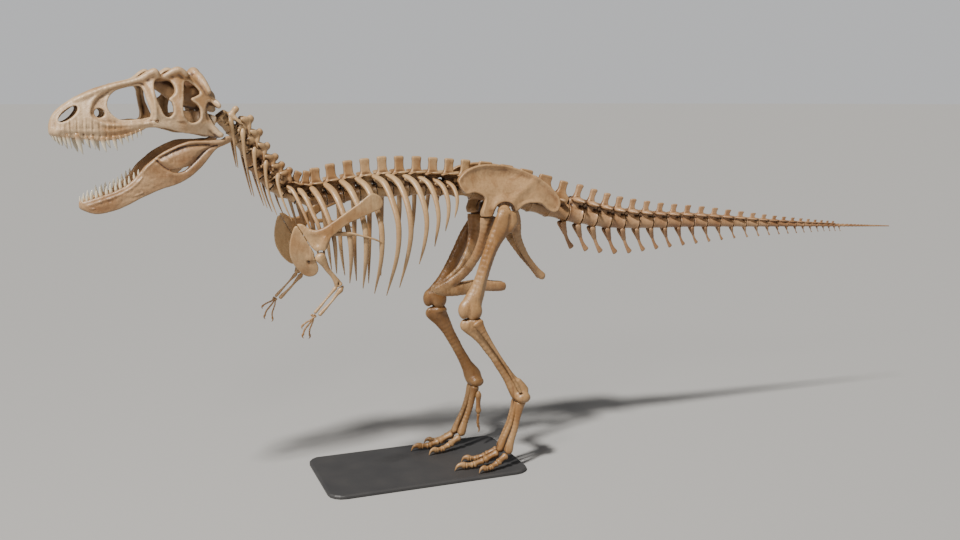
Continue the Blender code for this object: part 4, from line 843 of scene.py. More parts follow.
def makeSweeper():
    # gives each line of points a rounded section, as wide as its points say
    tree = bpy.data.node_groups.new("sweepBones", "GeometryNodeTree")
    addSockets(tree, (("Geometry", "Geometry"), ("Flatness", "Float", 0.6), ("Overall Size", "Float", 1.0),
        ("Sides", "Int", 12), ("Wide Way", "Vector", (0, 1, 0)), ("Finish", "Material")),
        (("Geometry", "Geometry"),))
    given = newNode(tree, "NodeGroupInput", (-900, 0))
    result = newNode(tree, "NodeGroupOutput", (1100, 0))
    line = newNode(tree, "GeometryNodeMeshToCurve", (-300, 0))
    girth = readPoints(tree, (-600, -250), "girth", "FLOAT")
    times = newNode(tree, "ShaderNodeMath", (-400, -250), operation="MULTIPLY")
    normal = newNode(tree, "GeometryNodeSetCurveNormal", (0, 0), mode="FREE")
    ring = newNode(tree, "GeometryNodeCurvePrimitiveCircle", (-200, -400), {"Radius": 1.0})
    press = newNode(tree, "GeometryNodeTransform", (200, -400))
    shape = newNode(tree, "ShaderNodeCombineXYZ", (0, -500), {"X": 1.0, "Z": 1.0})
    sweep = newNode(tree, "GeometryNodeCurveToMesh", (400, 0), {"Fill Caps": True})
    smooth = newNode(tree, "GeometryNodeSetShadeSmooth", (600, 0))
    real = newNode(tree, "GeometryNodeRealizeInstances", (750, 0))
    finish = newNode(tree, "GeometryNodeSetMaterial", (900, 0))
    wire(tree, (given, "Geometry", line, "Mesh"), (girth, "Attribute", times, 0), (given, "Overall Size",
        times, 1), (times, 0, sweep, "Scale"), (line, "Curve", normal, "Curve"), (given, "Wide Way", normal,
        "Normal"), (given, "Sides", ring, "Resolution"), (given, "Flatness", shape, "Y"),
        (ring, "Curve", press, "Geometry"), (shape, "Vector", press, "Scale"), (normal, "Curve", sweep,
        "Curve"), (press, "Geometry", sweep, "Profile Curve"), (sweep, "Mesh", smooth, "Geometry"),
        (smooth, "Geometry", real, "Geometry"), (real, "Geometry", finish, "Geometry"),
        (given, "Finish", finish, "Material"), (finish, "Geometry", result, "Geometry"))
    return tree


planter = makePlanter()
sweeper = makeSweeper()


def runTree(obj, tree, **values):
    # runs the tree on an object and hands back the plain mesh
    mod = obj.modifiers.new("grow", "NODES")
    mod.node_group = tree
    names = {item.name: item.identifier for item in tree.interface.items_tree if item.item_type == "SOCKET"
        and item.in_out == "INPUT"}
    for label, value in values.items():
        mod[names[label.replace("_", " ")]] = value
    graph = bpy.context.evaluated_depsgraph_get()
    graph.update()
    mesh = bpy.data.meshes.new_from_object(obj.evaluated_get(graph))
    obj.modifiers.remove(mod)
    old = obj.data
    bpy.data.objects.remove(obj)
    bpy.data.meshes.remove(old)
    for layer in [a.name for a in mesh.attributes if a.name in ("turn", "size", "girth")]:
        mesh.attributes.remove(mesh.attributes[layer])
    return mesh


def plantParts(name, spots, part, finish, size=1.0):
    # spots: (place, turn in radians, size along x, y and z)
    mesh = bpy.data.meshes.new(name + "Spots")
    mesh.from_pydata([tuple(s[0]) for s in spots], [], [])
    for k, label in ((1, "turn"), (2, "size")):
        keepOn(mesh, label, [tuple(s[k]) for s in spots], "FLOAT_VECTOR")
    return runTree(addObject(name + "Spots", mesh), planter, Part=part, Overall_Size=size, Finish=finish)


def sweepLines(name, lines, finish, flatness=0.6, sides=12, wideWay=(0, 1, 0), size=1.0):
    # lines: lists of (point, half width)
    mesh = bpy.data.meshes.new(name + "Lines")
    points, edges, girths = [], [], []
    for line in lines:
        start = len(points)
        points += [tuple(p) for p, g in line]
        girths += [g for p, g in line]
        edges += [(start + i, start + i + 1) for i in range(len(line) - 1)]
    mesh.from_pydata(points, edges, [])
    keepOn(mesh, "girth", girths)
    return runTree(addObject(name + "Lines", mesh), sweeper, Flatness=flatness, Sides=sides,
        Wide_Way=wideWay, Overall_Size=size, Finish=finish)


def taperLine(points, girths, fine=5):
    # a smooth line with rounded-off ends
    path = spline(points, fine)
    wide = np.maximum(spline([(g,) for g in girths], fine)[:, 0], 0.0012)
    line = list(zip(path, wide))
    for end, sign in ((0, -1), (-1, 1)):
        ahead = path[end] - path[1 if end == 0 else -2]
        ahead = ahead / np.linalg.norm(ahead)
        g = wide[end]
        caps = [(path[end] + ahead * g * math.sin(a), max(g * math.cos(a), 0.0008)) for a in (0.6, 1.1,
            1.5)]
        line = caps[::-1] + line if sign < 0 else line + caps
    return line


def hiddenPart(name, mesh):
    obj = addObject(name, mesh)
    obj.hide_render = True
    return obj


def makeTemplate(name, verts, quads):
    return hiddenPart(name, meshFrom(name, verts, quads))


def dropTemplates(*templates):
    for obj in templates:
        mesh = obj.data
        bpy.data.objects.remove(obj)
        bpy.data.meshes.remove(mesh)


def makeTooth():
    # points up, curves back, a little flattened, with a bite edge before and behind
    around, rings = teeth["around"], teeth["rings"]
    verts = []
    for i in range(rings):
        t = i / (rings - 1)
        z = -0.22 + 1.2 * t
        wide = (1 - max(z, 0) ** 1.7) ** 0.85 if z > 0 else 1.0
        wide = max(wide, 0.05)
        for k in range(around):
            a = 2 * math.pi * k / around
            c, s = math.cos(a), math.sin(a)
            keel = abs(c) ** 0.8 * (1 if c > 0 else -1)
            verts.append((wide * keel - 0.9 * max(z, 0) ** 2, wide * 0.66 * s, z))
    quads = [(i * around + k, i * around + (k + 1) % around, (i + 1) * around + (k + 1) % around,
        (i + 1) * around + k) for i in range(rings - 1) for k in range(around)]
    bm = bmesh.new()
    made = [bm.verts.new(p) for p in verts]
    for q in quads:
        bm.faces.new([made[i] for i in q])
    bm.faces.new(made[:around][::-1])
    bm.faces.new(made[-around:])
    bmesh.ops.recalc_face_normals(bm, faces=bm.faces)
    mesh = bpy.data.meshes.new("toothShape")
    bm.to_mesh(mesh)
    bm.free()
    mesh.polygons.foreach_set("use_smooth", np.ones(len(mesh.polygons), bool))
    keepOn(mesh, "rise", [max(v.co.z, 0) for v in mesh.vertices])
    return hiddenPart("toothShape", mesh)


toothLook = {"root": (0.46, 0.27, 0.13), "crown": (0.74, 0.64, 0.47), "tip": (0.8, 0.74, 0.6)}


def makeEnamel():
    mat, tree, shader = newMaterial("toothEnamel", {"Roughness": 0.27, "Coat Weight": 0.15})
    rise = newNode(tree, "ShaderNodeAttribute", (-900, 200), attribute_name="rise")
    ramp = newNode(tree, "ShaderNodeValToRGB", (-650, 200))
    ramp.color_ramp.elements[0].color = (*toothLook["root"], 1)
    ramp.color_ramp.elements[1].color = (*toothLook["tip"], 1)
    ramp.color_ramp.elements[1].position = 0.95
    ramp.color_ramp.elements.new(0.28).color = (*toothLook["crown"], 1)
    where = newNode(tree, "ShaderNodeTexCoord", (-1100, -100))
    stretch = newNode(tree, "ShaderNodeMapping", (-900, -100), {"Scale": (1, 1, 0.12)})
    streak = newNode(tree, "ShaderNodeTexNoise", (-700, -100), {"Scale": 160, "Detail": 4})
    mix = newNode(tree, "ShaderNodeMix", (-350, 150), {0: 1.0}, data_type="RGBA", blend_type="MULTIPLY")
    shade = newNode(tree, "ShaderNodeMapRange", (-500, -100), {"From Min": 0.25, "From Max": 0.75,
        "To Min": 0.72, "To Max": 1.12})
    bump = newNode(tree, "ShaderNodeBump", (-250, -250), {"Strength": 0.35, "Distance": 0.001})
    wire(tree, (rise, "Fac", ramp, "Fac"), (where, "Object", stretch, "Vector"), (stretch, "Vector", streak,
        "Vector"), (streak, "Fac", shade, "Value"), (ramp, "Color", mix, 6), (shade, 0, mix, 7),
        (mix, 2, shader, "Base Color"), (streak, "Fac", bump, "Height"), (bump, "Normal", shader, "Normal"))
    return mat


enamel = makeEnamel()


def headMatrix():
    return Matrix([[*headAxes[r], (head["at"] + body["hip"])[r]] for r in range(3)] + [[0, 0, 0, 1]])


def makeTeethRow(name, rows, jawTop, halves, muzzle, shift, hang, tilt, tooth):
    spots = []
    rng = np.random.default_rng(7 if hang else 8)
    for side in (-1, 1):
        for u, length, wide in rows:
            wobble = rng.uniform(-1, 1, 4)
            length = length * (1 + 0.06 * wobble[0])
            v = side * (readTable(halves, u) + shift)
            w = readTable(jawTop, u) + (0.012 if hang else -0.01)
            swing = math.radians(tilt + 3 * wobble[1])
            turn = (math.pi if hang else 0.0, swing, math.radians(6 * wobble[2]) + side * 0.12)
            spots.append(((float(drawnBack(u, muzzle)) + 0.004 * wobble[3], v, w), turn,
                (wide * 0.00215, wide * 0.0019, length)))
    mesh = plantParts(name, spots, tooth, enamel)
    mesh.transform(headMatrix())
    return mesh


jawTopLine = ((0.79, -0.492), (0.91, -0.585), (0.99, -0.67), (1.11, -0.78), (1.27, -0.855), (1.41, -0.9),
    (1.52, -0.935), (1.6, -0.955), (1.64, -0.97))

verts, quads = makeSkull()
piece("skullBone", meshFrom("skullBone", verts, quads), bone["headBone"], "head_bone", "skull", hollows=14,
    gain=0.75)
print("skull", len(verts))
for side, name in ((1, "Left"), (-1, "Right")):
    verts, quads = makeJaw(side)
    piece("lowerJaw" + name, meshFrom("lowerJaw" + name, verts, quads), bone["jawBone"], "head_bone",
        "mandible_" + name.lower(), hollows=10, gain=1.1)
print("jaws")
tooth = makeTooth()
mesh = makeTeethRow("upperTeeth", teeth["upper"], head["jawEdges"], head["cheekHalves"], head["muzzle"],
    -0.03, True, 4.0, tooth)
piece("upperTeeth", mesh, None, "head_bone", "skull", hollows=1)
mesh = makeTeethRow("lowerTeeth", teeth["lower"], jawTopLine, jaw["halves"], jaw["muzzle"], 0.006, False,
    13.0, tooth)
piece("lowerTeeth", mesh, None, "head_bone", "mandible_left", "mandible_right", hollows=1)
dropTemplates(tooth)
print("teeth")
# the backbone, read by the distance along it from the skull to the end of the tail
spine = {
    "line": ((-3.6, -0.165, 4.665), (-3.49, -0.125, 4.56), (-3.38, -0.095, 4.43), (-3.27, -0.07, 4.25),
        (-3.16, -0.05, 4.04), (-3.0, -0.03, 3.85), (-2.8, -0.012, 3.71), (-2.52, 0, 3.625), (-2.1, 0, 3.66),
        (-1.6, 0, 3.7), (-1.1, 0, 3.71), (-0.38, 0, 3.66), (0.25, 0, 3.53), (0.88, 0, 3.35),
        (1.28, 0, 3.255), (1.75, 0, 3.165), (2.4, 0, 3.115), (3.1, 0, 3.085), (4.36, 0, 3.0),
        (5.5, 0, 2.93), (6.66, 0, 2.865)),
    "halfHeight": ((-3.6, 0.07), (-3.2, 0.092), (-2.52, 0.105), (-1.1, 0.112), (-0.2, 0.125), (0.88, 0.148),
        (1.35, 0.14), (1.8, 0.112), (2.4, 0.088), (3.1, 0.074), (3.77, 0.056), (4.4, 0.04), (5.5, 0.022),
        (6.7, 0.008)),
    "tops": ((-3.36, 4.76), (-3.19, 4.65), (-3.09, 4.5), (-3.02, 4.37), (-2.94, 4.24), (-2.87, 4.13),
        (-2.77, 4.04), (-2.66, 3.99), (-2.53, 3.98), (-2.36, 4.02), (-2.17, 4.07), (-1.98, 4.1),
        (-1.76, 4.12), (-1.54, 4.14), (-1.32, 4.14), (-1.11, 4.13), (-0.88, 4.11), (-0.65, 4.09),
        (-0.43, 4.07)),
    "atlas": 0.07, "neck": 9, "neckEnd": -2.52, "trunk": 10, "trunkEnd": -0.38, "tailStart": 1.0,
    "sacralTops": ((-0.17, 4.04), (0.13, 3.99), (0.43, 3.92), (0.71, 3.84), (0.93, 3.765)),
    "tailTops": ((1.14, 3.68), (1.35, 3.6), (1.77, 3.51), (2.21, 3.44), (2.64, 3.38), (3.36, 3.3),
        (4.01, 3.2), (4.75, 3.09), (5.3, 3.02), (6.7, 2.88)),
    "tailEven": 13, "tailStep": 0.222, "tailShrink": 0.93, "tail": 45, "tailSplits": (0, 5, 12, 19, 28, 45),
    "winged": 16, "spined": 24, "chevrons": 25,
    "chevronDrops": ((0.98, 0.36), (1.8, 0.35), (2.28, 0.3), (3.0, 0.24), (3.7, 0.17), (4.6, 0.11),
        (5.4, 0.07)),
}
backbone = spline(spine["line"], 12)
milestones = np.concatenate([[0], np.cumsum(np.linalg.norm(np.diff(backbone, axis=0), axis=1))])


def onSpine(s):
    return np.array([np.interp(s, milestones, backbone[:, k]) for k in range(3)])


def spineFrame(s):
    # middle of the backbone there, and the ways to the tail, to the right side and up
    ahead = onSpine(s + 0.03) - onSpine(s - 0.03)
    ahead = ahead / np.linalg.norm(ahead)
    across = np.array((0, 1, 0)) - ahead * ahead[1]
    across = across / np.linalg.norm(across)
    return onSpine(s), ahead, across, np.cross(ahead, across)


def spineReach(x):
    return np.interp(x, backbone[:, 0], milestones)


def turnTo(ahead, across, up):
    return tuple(Matrix([[ahead[r], across[r], up[r]] for r in range(3)]).to_euler())


neckJoints = np.concatenate([[0], np.linspace(spine["atlas"], spineReach(spine["neckEnd"]),
    spine["neck"] + 1)])
trunkJoints = np.linspace(spineReach(spine["neckEnd"]), spineReach(spine["trunkEnd"]), spine["trunk"] + 1)
sacralJoints = np.linspace(spineReach(spine["trunkEnd"]), spineReach(spine["tailStart"]),
    len(spine["sacralTops"]) + 1)
tailSteps = [spine["tailStep"] * (1 if i < spine["tailEven"] else 0.92 * spine["tailShrink"] ** (i
    - spine["tailEven"])) for i in range(spine["tail"])]
tailJoints = np.concatenate([[0], np.cumsum(tailSteps)])
tailJoints = spineReach(spine["tailStart"]) + tailJoints * ((milestones[-1]
    - spineReach(spine["tailStart"])) / tailJoints[-1])


def spool(clay, length, wide, tall, waist, rim=0.006, dish=0.01, soft=0.012):
    # a centrum lying along x: waisted, with raised rims and dished ends
    x, y, z = clay.grid()
    r = np.sqrt((y / wide) ** 2 + (z / tall) ** 2)
    t = np.clip(np.abs(x) * 2 / length, 0, 1.2)
    edge = waist + (1 - waist) * t ** 2.2 + rim / tall * np.exp(-((1 - t) * 9) ** 2)
    side = (r - edge) * min(wide, tall)
    end = np.abs(x) - length / 2 + dish * np.clip(1 - r ** 2, 0, 1)
    clay.put(roundMeet(side, end, 0.007), soft)


def bothSides(clay, points, sizes, across=(0, 0, 1), soft=0.02, **more):
    for s in (-1, 1):
        clay.limb([(p[0], s * p[1], p[2]) for p in points], sizes, across, soft, **more)


neckShape = {
    "step": 0.0078, "length": 0.155, "wide": 0.088, "tall": 0.084, "waist": 0.78, "top": 0.285,
    "knob": ((0.0, 0.2), (0.004, 0.245), (0.0, 0.272)),
    "knobHalf": ((0.026, 0.05), (0.026, 0.042), (0.027, 0.037)),
    "frontArm": ((0.0, 0.016, 0.215), (-0.035, 0.042, 0.198), (-0.082, 0.056, 0.166)),
    "frontHalf": ((0.036, 0.032), (0.033, 0.028), (0.022, 0.022)),
    "rearArm": ((0.0, 0.018, 0.215), (0.045, 0.046, 0.178), (0.106, 0.052, 0.132)),
    "rearHalf": ((0.038, 0.028), (0.029, 0.022), (0.016, 0.015)),
    "post": ((0.004, 0.028, 0.2), (-0.002, 0.046, 0.07)), "postHalf": ((0.014, 0.036), (0.016, 0.046)),
    "wing": ((-0.02, 0.07, 0.055), (-0.03, 0.105, 0.05)), "wingHalf": ((0.02, 0.026), (0.016, 0.02)),
}


def makeNeckShape(lean):
    n = neckShape
    clay = Clay((-0.13, -0.14, -0.11), (0.13, 0.14, 0.33), n["step"])
    spool(clay, n["length"], n["wide"], n["tall"], n["waist"])
    clay.limb([(a, 0, b) for a, b in n["knob"]], n["knobHalf"], (0, 1, 0), 0.022)
    bothSides(clay, n["frontArm"], n["frontHalf"])
    bothSides(clay, n["rearArm"], n["rearHalf"])
    bothSides(clay, n["post"], n["postHalf"], (0, 1, 0), 0.016)
    bothSides(clay, n["wing"], n["wingHalf"], (0, 0, 1), 0.02)
    clay.limb([(-0.06, 0, 0.12), (0.068, 0, 0.116)], [(0.042, 0.042)] * 2, (0, 1, 0), 0.012)
    clay.limb([(-0.12, 0, 0.12), (0.12, 0, 0.12)], [(0.02, 0.02)] * 2, (0, 1, 0), 0.008, carve=True)
    for s in (-1, 1):
        clay.ball((0.015, s * 0.098, 0.005), (0.035, 0.018, 0.024), 0.02, carve=True)
    verts, quads = clay.skin()
    verts = roughen(verts, quads, ((0.05, 0.0015, 3),))
    verts[:, 0] += lean * np.clip(verts[:, 2] / n["top"], 0, 1)
    return makeTemplate("neckShape", verts, quads)


trunkShape = {
    "step": 0.01, "length": 0.206, "wide": 0.1, "tall": 0.104, "waist": 0.76, "top": 0.43,
    "plate": ((-0.112, 0.19), (-0.092, 0.216), (-0.072, 0.232), (-0.061, 0.258), (-0.057, 0.3),
        (-0.057, 0.36), (-0.06, 0.398), (-0.058, 0.418), (-0.044, 0.43), (0.048, 0.43), (0.064, 0.418),
        (0.067, 0.398), (0.063, 0.36), (0.062, 0.3), (0.065, 0.258), (0.08, 0.232), (0.098, 0.214),
        (0.116, 0.19), (0.1, 0.172), (0.07, 0.16), (0.062, 0.12), (0.062, 0.07), (-0.066, 0.07),
        (-0.066, 0.12), (-0.07, 0.158), (-0.097, 0.17)),
    "thick": ((0.07, 0.05), (0.12, 0.054), (0.16, 0.052), (0.2, 0.038), (0.25, 0.025), (0.3, 0.021),
        (0.37, 0.021), (0.405, 0.028), (0.43, 0.028)),
    "facet": ((-0.082, 0.044, 0.19), (0.086, 0.044, 0.182)), "facetHalf": (0.036, 0.03, 0.02),
    "wing": ((-0.002, 0.03, 0.178), (-0.002, 0.11, 0.206), (0.0, 0.205, 0.232)),
    "wingHalf": ((0.026, 0.092), (0.018, 0.086), (0.017, 0.074)),
}


def makeTrunkShape():
    t = trunkShape
    clay = Clay((-0.13, -0.24, -0.13), (0.13, 0.24, 0.45), t["step"])
    spool(clay, t["length"], t["wide"], t["tall"], t["waist"])
    clay.sheet(t["plate"], 1, lambda a, b: 0 * a, lambda a, b: easeTable(t["thick"], b, 0.02), 0.018, 0.014)
    for a, b, c in t["facet"]:
        for s in (-1, 1):
            clay.ball((a, s * b, c), t["facetHalf"], 0.018)
    bothSides(clay, t["wing"], t["wingHalf"], (0, 0, 1), 0.022)
    clay.limb([(-0.14, 0, 0.135), (0.14, 0, 0.135)], [(0.028, 0.028)] * 2, soft=0.01, carve=True)
    for s in (-1, 1):
        # hollow at the front edge where the rib meets, and the shallow one on the side of the centrum
        clay.ball((-0.05, s * 0.12, 0.14), (0.05, 0.05, 0.05), 0.02, carve=True)
        clay.ball((-0.095, s * 0.19, 0.205), (0.024, 0.04, 0.04), 0.015, carve=True)
        clay.ball((0.0, s * 0.11, 0.02), (0.05, 0.022, 0.034), 0.02, carve=True)
    verts, quads = clay.skin()
    verts = roughen(verts, quads, ((0.06, 0.0022, 5), (0.02, 0.0006, 6)))
    return makeTemplate("trunkShape", verts, quads)


def spots(joints, tops, shape, gapless=False, first=0):
    # each vertebra between two joints: where it stands, how it turns, how large it is
    out = []
    for i, (s0, s1) in enumerate(zip(joints, joints[1:])):
        at, ahead, across, up = spineFrame((s0 + s1) / 2)
        top = np.array((tops[i][0] - at[0], 0, tops[i][1] - at[2]))
        rise = top @ up
        small = readTable(spine["halfHeight"], at[0]) / shape["tall"]
        out.append((at + body["hip"], turnTo(ahead, across, up),
            ((s1 - s0 - (0 if gapless else 0.008)) / shape["length"], small, rise / shape["top"])))
    return out


print("backbone laid out")
neckFrontShape = makeNeckShape(-0.045)
neckRearShape = makeNeckShape(0.0)
bodyShape = makeTrunkShape()

atlasRing = {"radius": 0.062, "half": ((0.016, 0.02),) * 13, "wings": 0.1}


def makeNeckStart():
    # the thin first ring and the large second vertebra with its forked arch
    clay = Clay((-3.68, -0.34, 4.4), (-3.24, 0.06, 4.8), 0.0065)
    at, ahead, across, up = spineFrame(spine["atlas"] * 0.5)
    ring = [at + up * 0.015 + (across * math.cos(a) + up * 1.15 * math.sin(a)) * atlasRing["radius"]
        for a in np.linspace(0, 2 * math.pi, 13)]
    clay.limb(ring, atlasRing["half"], ahead, 0.01)
    for s in (-1, 1):
        clay.limb([at + across * s * 0.06, at + across * s * atlasRing["wings"] + ahead * 0.03],
            [(0.018, 0.024), (0.012, 0.018)], up, 0.015)
    joint, end = neckJoints[1], neckJoints[2]
    at, ahead, across, up = spineFrame((joint + end) / 2)
    clay.limb([at - ahead * 0.066, at, at + ahead * 0.066], [(0.066, 0.066), (0.056, 0.056), (0.07, 0.07)],
        across, 0.01)
    y = at[1]
    fork = np.array((-3.425, y, 4.665))
    clay.limb([fork, (-3.39, y, 4.715), (-3.365, y, 4.742)], [(0.022, 0.034), (0.022, 0.032),
        (0.028, 0.034)], (0, 1, 0), 0.02)
    clay.limb([fork, (-3.475, y, 4.675), (-3.515, y, 4.685)], [(0.022, 0.034), (0.022, 0.028),
        (0.028, 0.032)], (0, 1, 0), 0.02)
    for s in (-1, 1):
        clay.limb([fork + (0, s * 0.015, 0), (-3.375, y + s * 0.045, 4.615), (-3.325, y + s * 0.05, 4.565)],
            [(0.018, 0.026), (0.016, 0.022), (0.013, 0.014)])
        clay.limb([fork + (0, s * 0.02, 0), at + across * s * 0.042 + up * 0.05],
            [(0.014, 0.03), (0.018, 0.036)], (0, 1, 0), 0.02)
    verts, quads = clay.skin()
    return place(roughen(verts, quads, ((0.05, 0.0015, 9),)), at=body["hip"]), quads


def joinMeshes(name, finish, *meshes):
    bm = bmesh.new()
    for mesh in meshes:
        bm.from_mesh(mesh)
    out = bpy.data.meshes.new(name)
    bm.to_mesh(out)
    bm.free()
    for mesh in meshes:
        bpy.data.meshes.remove(mesh)
    out.materials.append(finish)
    out.polygons.foreach_set("material_index", np.zeros(len(out.polygons), np.int32))
    return out


neckSpots = spots(neckJoints[1:], spine["tops"], neckShape)
start = meshFrom("neckStart", *makeNeckStart())
frontNeck = plantParts("neckFrontBones", neckSpots[1:4], neckFrontShape, bone["bodyBone"])
piece("neckFrontBones", joinMeshes("neckFrontBones", bone["bodyBone"], start, frontNeck), None, "body_bone",
    "neck_front")
piece("neckRearBones", plantParts("neckRearBones", neckSpots[4:7], neckRearShape, bone["bodyBone"]), None,
    "body_bone", "neck_rear")
trunkSpots = spots(np.concatenate([neckJoints[8:], trunkJoints[1:]]), spine["tops"][spine["neck"] - 2:],
    trunkShape)
piece("trunkBones", plantParts("trunkBones", trunkSpots, bodyShape, bone["bodyBone"]), None, "body_bone",
    "trunk_left", "trunk_right")
print("neck and trunk made")

# ribs on the left side from the back of the neck to the hips: points (x, half width of the chest, height)
ribs = {
    "lines": (((-2.795, 0.165, 3.865), (-2.75, 0.26, 3.76), (-2.68, 0.38, 3.57), (-2.61, 0.46, 3.35),
        (-2.56, 0.48, 3.16)), ((-2.665, 0.185, 3.835), (-2.62, 0.34, 3.69), (-2.56, 0.46, 3.5),
        (-2.5, 0.54, 3.3), (-2.44, 0.55, 2.92)), ((-2.515, 0.195, 3.85), (-2.46, 0.4, 3.67),
        (-2.39, 0.56, 3.42), (-2.34, 0.61, 3.16), (-2.3, 0.5, 2.76)), ((-2.345, 0.2, 3.885),
        (-2.28, 0.42, 3.73), (-2.21, 0.6, 3.46), (-2.17, 0.67, 3.22), (-2.15, 0.64, 2.95),
        (-2.14, 0.5, 2.63)), ((-2.15, 0.2, 3.92), (-2.08, 0.42, 3.76), (-2.0, 0.61, 3.47),
        (-1.975, 0.69, 3.22), (-1.975, 0.65, 2.9), (-1.97, 0.48, 2.55)), ((-1.955, 0.2, 3.945),
        (-1.87, 0.42, 3.78), (-1.8, 0.61, 3.5), (-1.775, 0.69, 3.25), (-1.785, 0.66, 2.9),
        (-1.82, 0.46, 2.47)), ((-1.74, 0.2, 3.97), (-1.655, 0.42, 3.83), (-1.59, 0.62, 3.54),
        (-1.565, 0.7, 3.27), (-1.585, 0.65, 2.92), (-1.66, 0.44, 2.43)), ((-1.565, 0.2, 3.98),
        (-1.48, 0.41, 3.84), (-1.425, 0.59, 3.6), (-1.405, 0.68, 3.31), (-1.425, 0.63, 2.99),
        (-1.49, 0.44, 2.52)), ((-1.34, 0.19, 3.965), (-1.25, 0.37, 3.82), (-1.195, 0.53, 3.59),
        (-1.175, 0.6, 3.34), (-1.205, 0.58, 3.06), (-1.245, 0.49, 2.81)), ((-1.135, 0.175, 3.935),
        (-1.055, 0.33, 3.8), (-1.005, 0.46, 3.59), (-0.995, 0.52, 3.35), (-1.035, 0.48, 3.02)),
        ((-0.925, 0.16, 3.895), (-0.86, 0.3, 3.76), (-0.83, 0.4, 3.6), (-0.835, 0.44, 3.42),
        (-0.87, 0.42, 3.2)), ((-0.755, 0.15, 3.86), (-0.71, 0.27, 3.75), (-0.695, 0.37, 3.62),
        (-0.705, 0.39, 3.49), (-0.73, 0.38, 3.36))),
    "girth": ((0.0, 0.04), (0.04, 0.05), (0.12, 0.047), (0.28, 0.04), (0.52, 0.034), (0.78, 0.025),
        (0.92, 0.014), (1.0, 0.005)),
    "slim": (0.62, 0.78, 0.92, 1.0, 1.0, 1.0, 1.0, 1.0, 0.98, 0.92, 0.86, 0.76), "headDrop": 0.058,
    "flatness": 0.62, "sides": 14,
    "bar": ((-2.325, 0.66, 3.27), (-2.12, 0.72, 3.255), (-1.91, 0.725, 3.2), (-1.775, 0.71, 3.135)),
    "barGirth": (0.046, 0.044, 0.034, 0.008),
}
neckRibs = {
    "lines": (((-3.452, 0.225, 4.62), (-3.44, 0.245, 4.52), (-3.425, 0.245, 4.37), (-3.405, 0.225, 4.2),
        (-3.385, 0.2, 4.05)), ((-3.312, 0.205, 4.49), (-3.315, 0.225, 4.38), (-3.305, 0.225, 4.2),
        (-3.265, 0.21, 3.96), (-3.21, 0.19, 3.7)), ((-3.182, 0.195, 4.27), (-3.19, 0.215, 4.14),
        (-3.175, 0.22, 3.98), (-3.125, 0.21, 3.78), (-3.06, 0.2, 3.56)), ((-3.052, 0.185, 4.11),
        (-3.065, 0.21, 3.99), (-3.055, 0.225, 3.84), (-3.015, 0.22, 3.66), (-2.95, 0.22, 3.47)),
        ((-2.912, 0.175, 3.955), (-2.925, 0.215, 3.86), (-2.9, 0.26, 3.72), (-2.855, 0.29, 3.57),
        (-2.785, 0.31, 3.4))),
    "girth": ((0.0, 0.03), (0.05, 0.034), (0.13, 0.024), (0.32, 0.018), (0.6, 0.013), (0.85, 0.009),
        (1.0, 0.004)),
    "on": (0, 1, 2, 4, 5), "flatness": 0.75, "sides": 12,
}


def ribLine(points, girth, scale, side, fine=7):
    # a rib along its points on one side, thick at the head and drawn out below
    path = spline([(p[0], side * p[1], p[2]) for p in points], fine)
    run = np.concatenate([[0], np.cumsum(np.linalg.norm(np.diff(path, axis=0), axis=1))])
    wide = easeTable(girth, run / run[-1], 0.02) * scale
    wide[0] = girth[0][1] * scale * 0.8
    back = path[0] - path[1]
    back = back / np.linalg.norm(back)
    caps = [(path[0] + back * wide[0] * math.sin(a), wide[0] * max(math.cos(a), 0.05)) for a in (1.5, 1.1,
        0.6)]
    return [(p + body["hip"], g) for p, g in caps + list(zip(path, wide))]


def makeRibs(side):
    lines = []
    joints = np.concatenate([neckJoints[8:], trunkJoints[1:]])
    for k, points in enumerate(ribs["lines"]):
        points = [np.array(p) - (0, 0, ribs["headDrop"] * math.exp(-2 * i)) for i, p in enumerate(points)]
        lines.append(ribLine(points, ribs["girth"], ribs["slim"][k], side))
        # lower head of the rib, running in to the side of the centrum
        at, ahead, across, up = spineFrame((joints[k] + joints[k + 1]) / 2 if k < len(joints) - 1
            else joints[-1])
        low = at + across * side * 0.085 - ahead * 0.06 + up * 0.07
        high = np.array((points[0][0] + 0.03, side * points[0][1] * 1.25, points[0][2] - 0.055))
        lines.append([(p + body["hip"], g) for p, g in taperLine([low, (low + high) / 2 + (0, 0, 0.01),
            high], (0.03, 0.03, 0.04))])
    bar = [(p[0], side * p[1], p[2]) for p in ribs["bar"]]
    lines.append([(p + body["hip"], g) for p, g in taperLine(bar, ribs["barGirth"])])
    return lines


def makeNeckRibs(side):
    lines = []
    for k, points in enumerate(neckRibs["lines"]):
        on = neckRibs["on"][k]
        at, ahead, across, up = spineFrame((neckJoints[on + 1] + neckJoints[on + 2]) / 2)
        middle = at[1]
        near = [(p[0], middle + side * (p[1] - abs(middle)), p[2]) for p in points]
        lines.append(ribLine(near, neckRibs["girth"], 1.0, 1))
        foot = np.array(near[0])
        root = at + across * side * 0.07 + (foot - at) @ ahead * 0.6 * ahead
        lines.append([(p + body["hip"], g) for p, g in taperLine([root, (root + foot) / 2,
            foot + (0, -side * 0.012, -0.02)], (0.02, 0.018, 0.022))])
    return lines


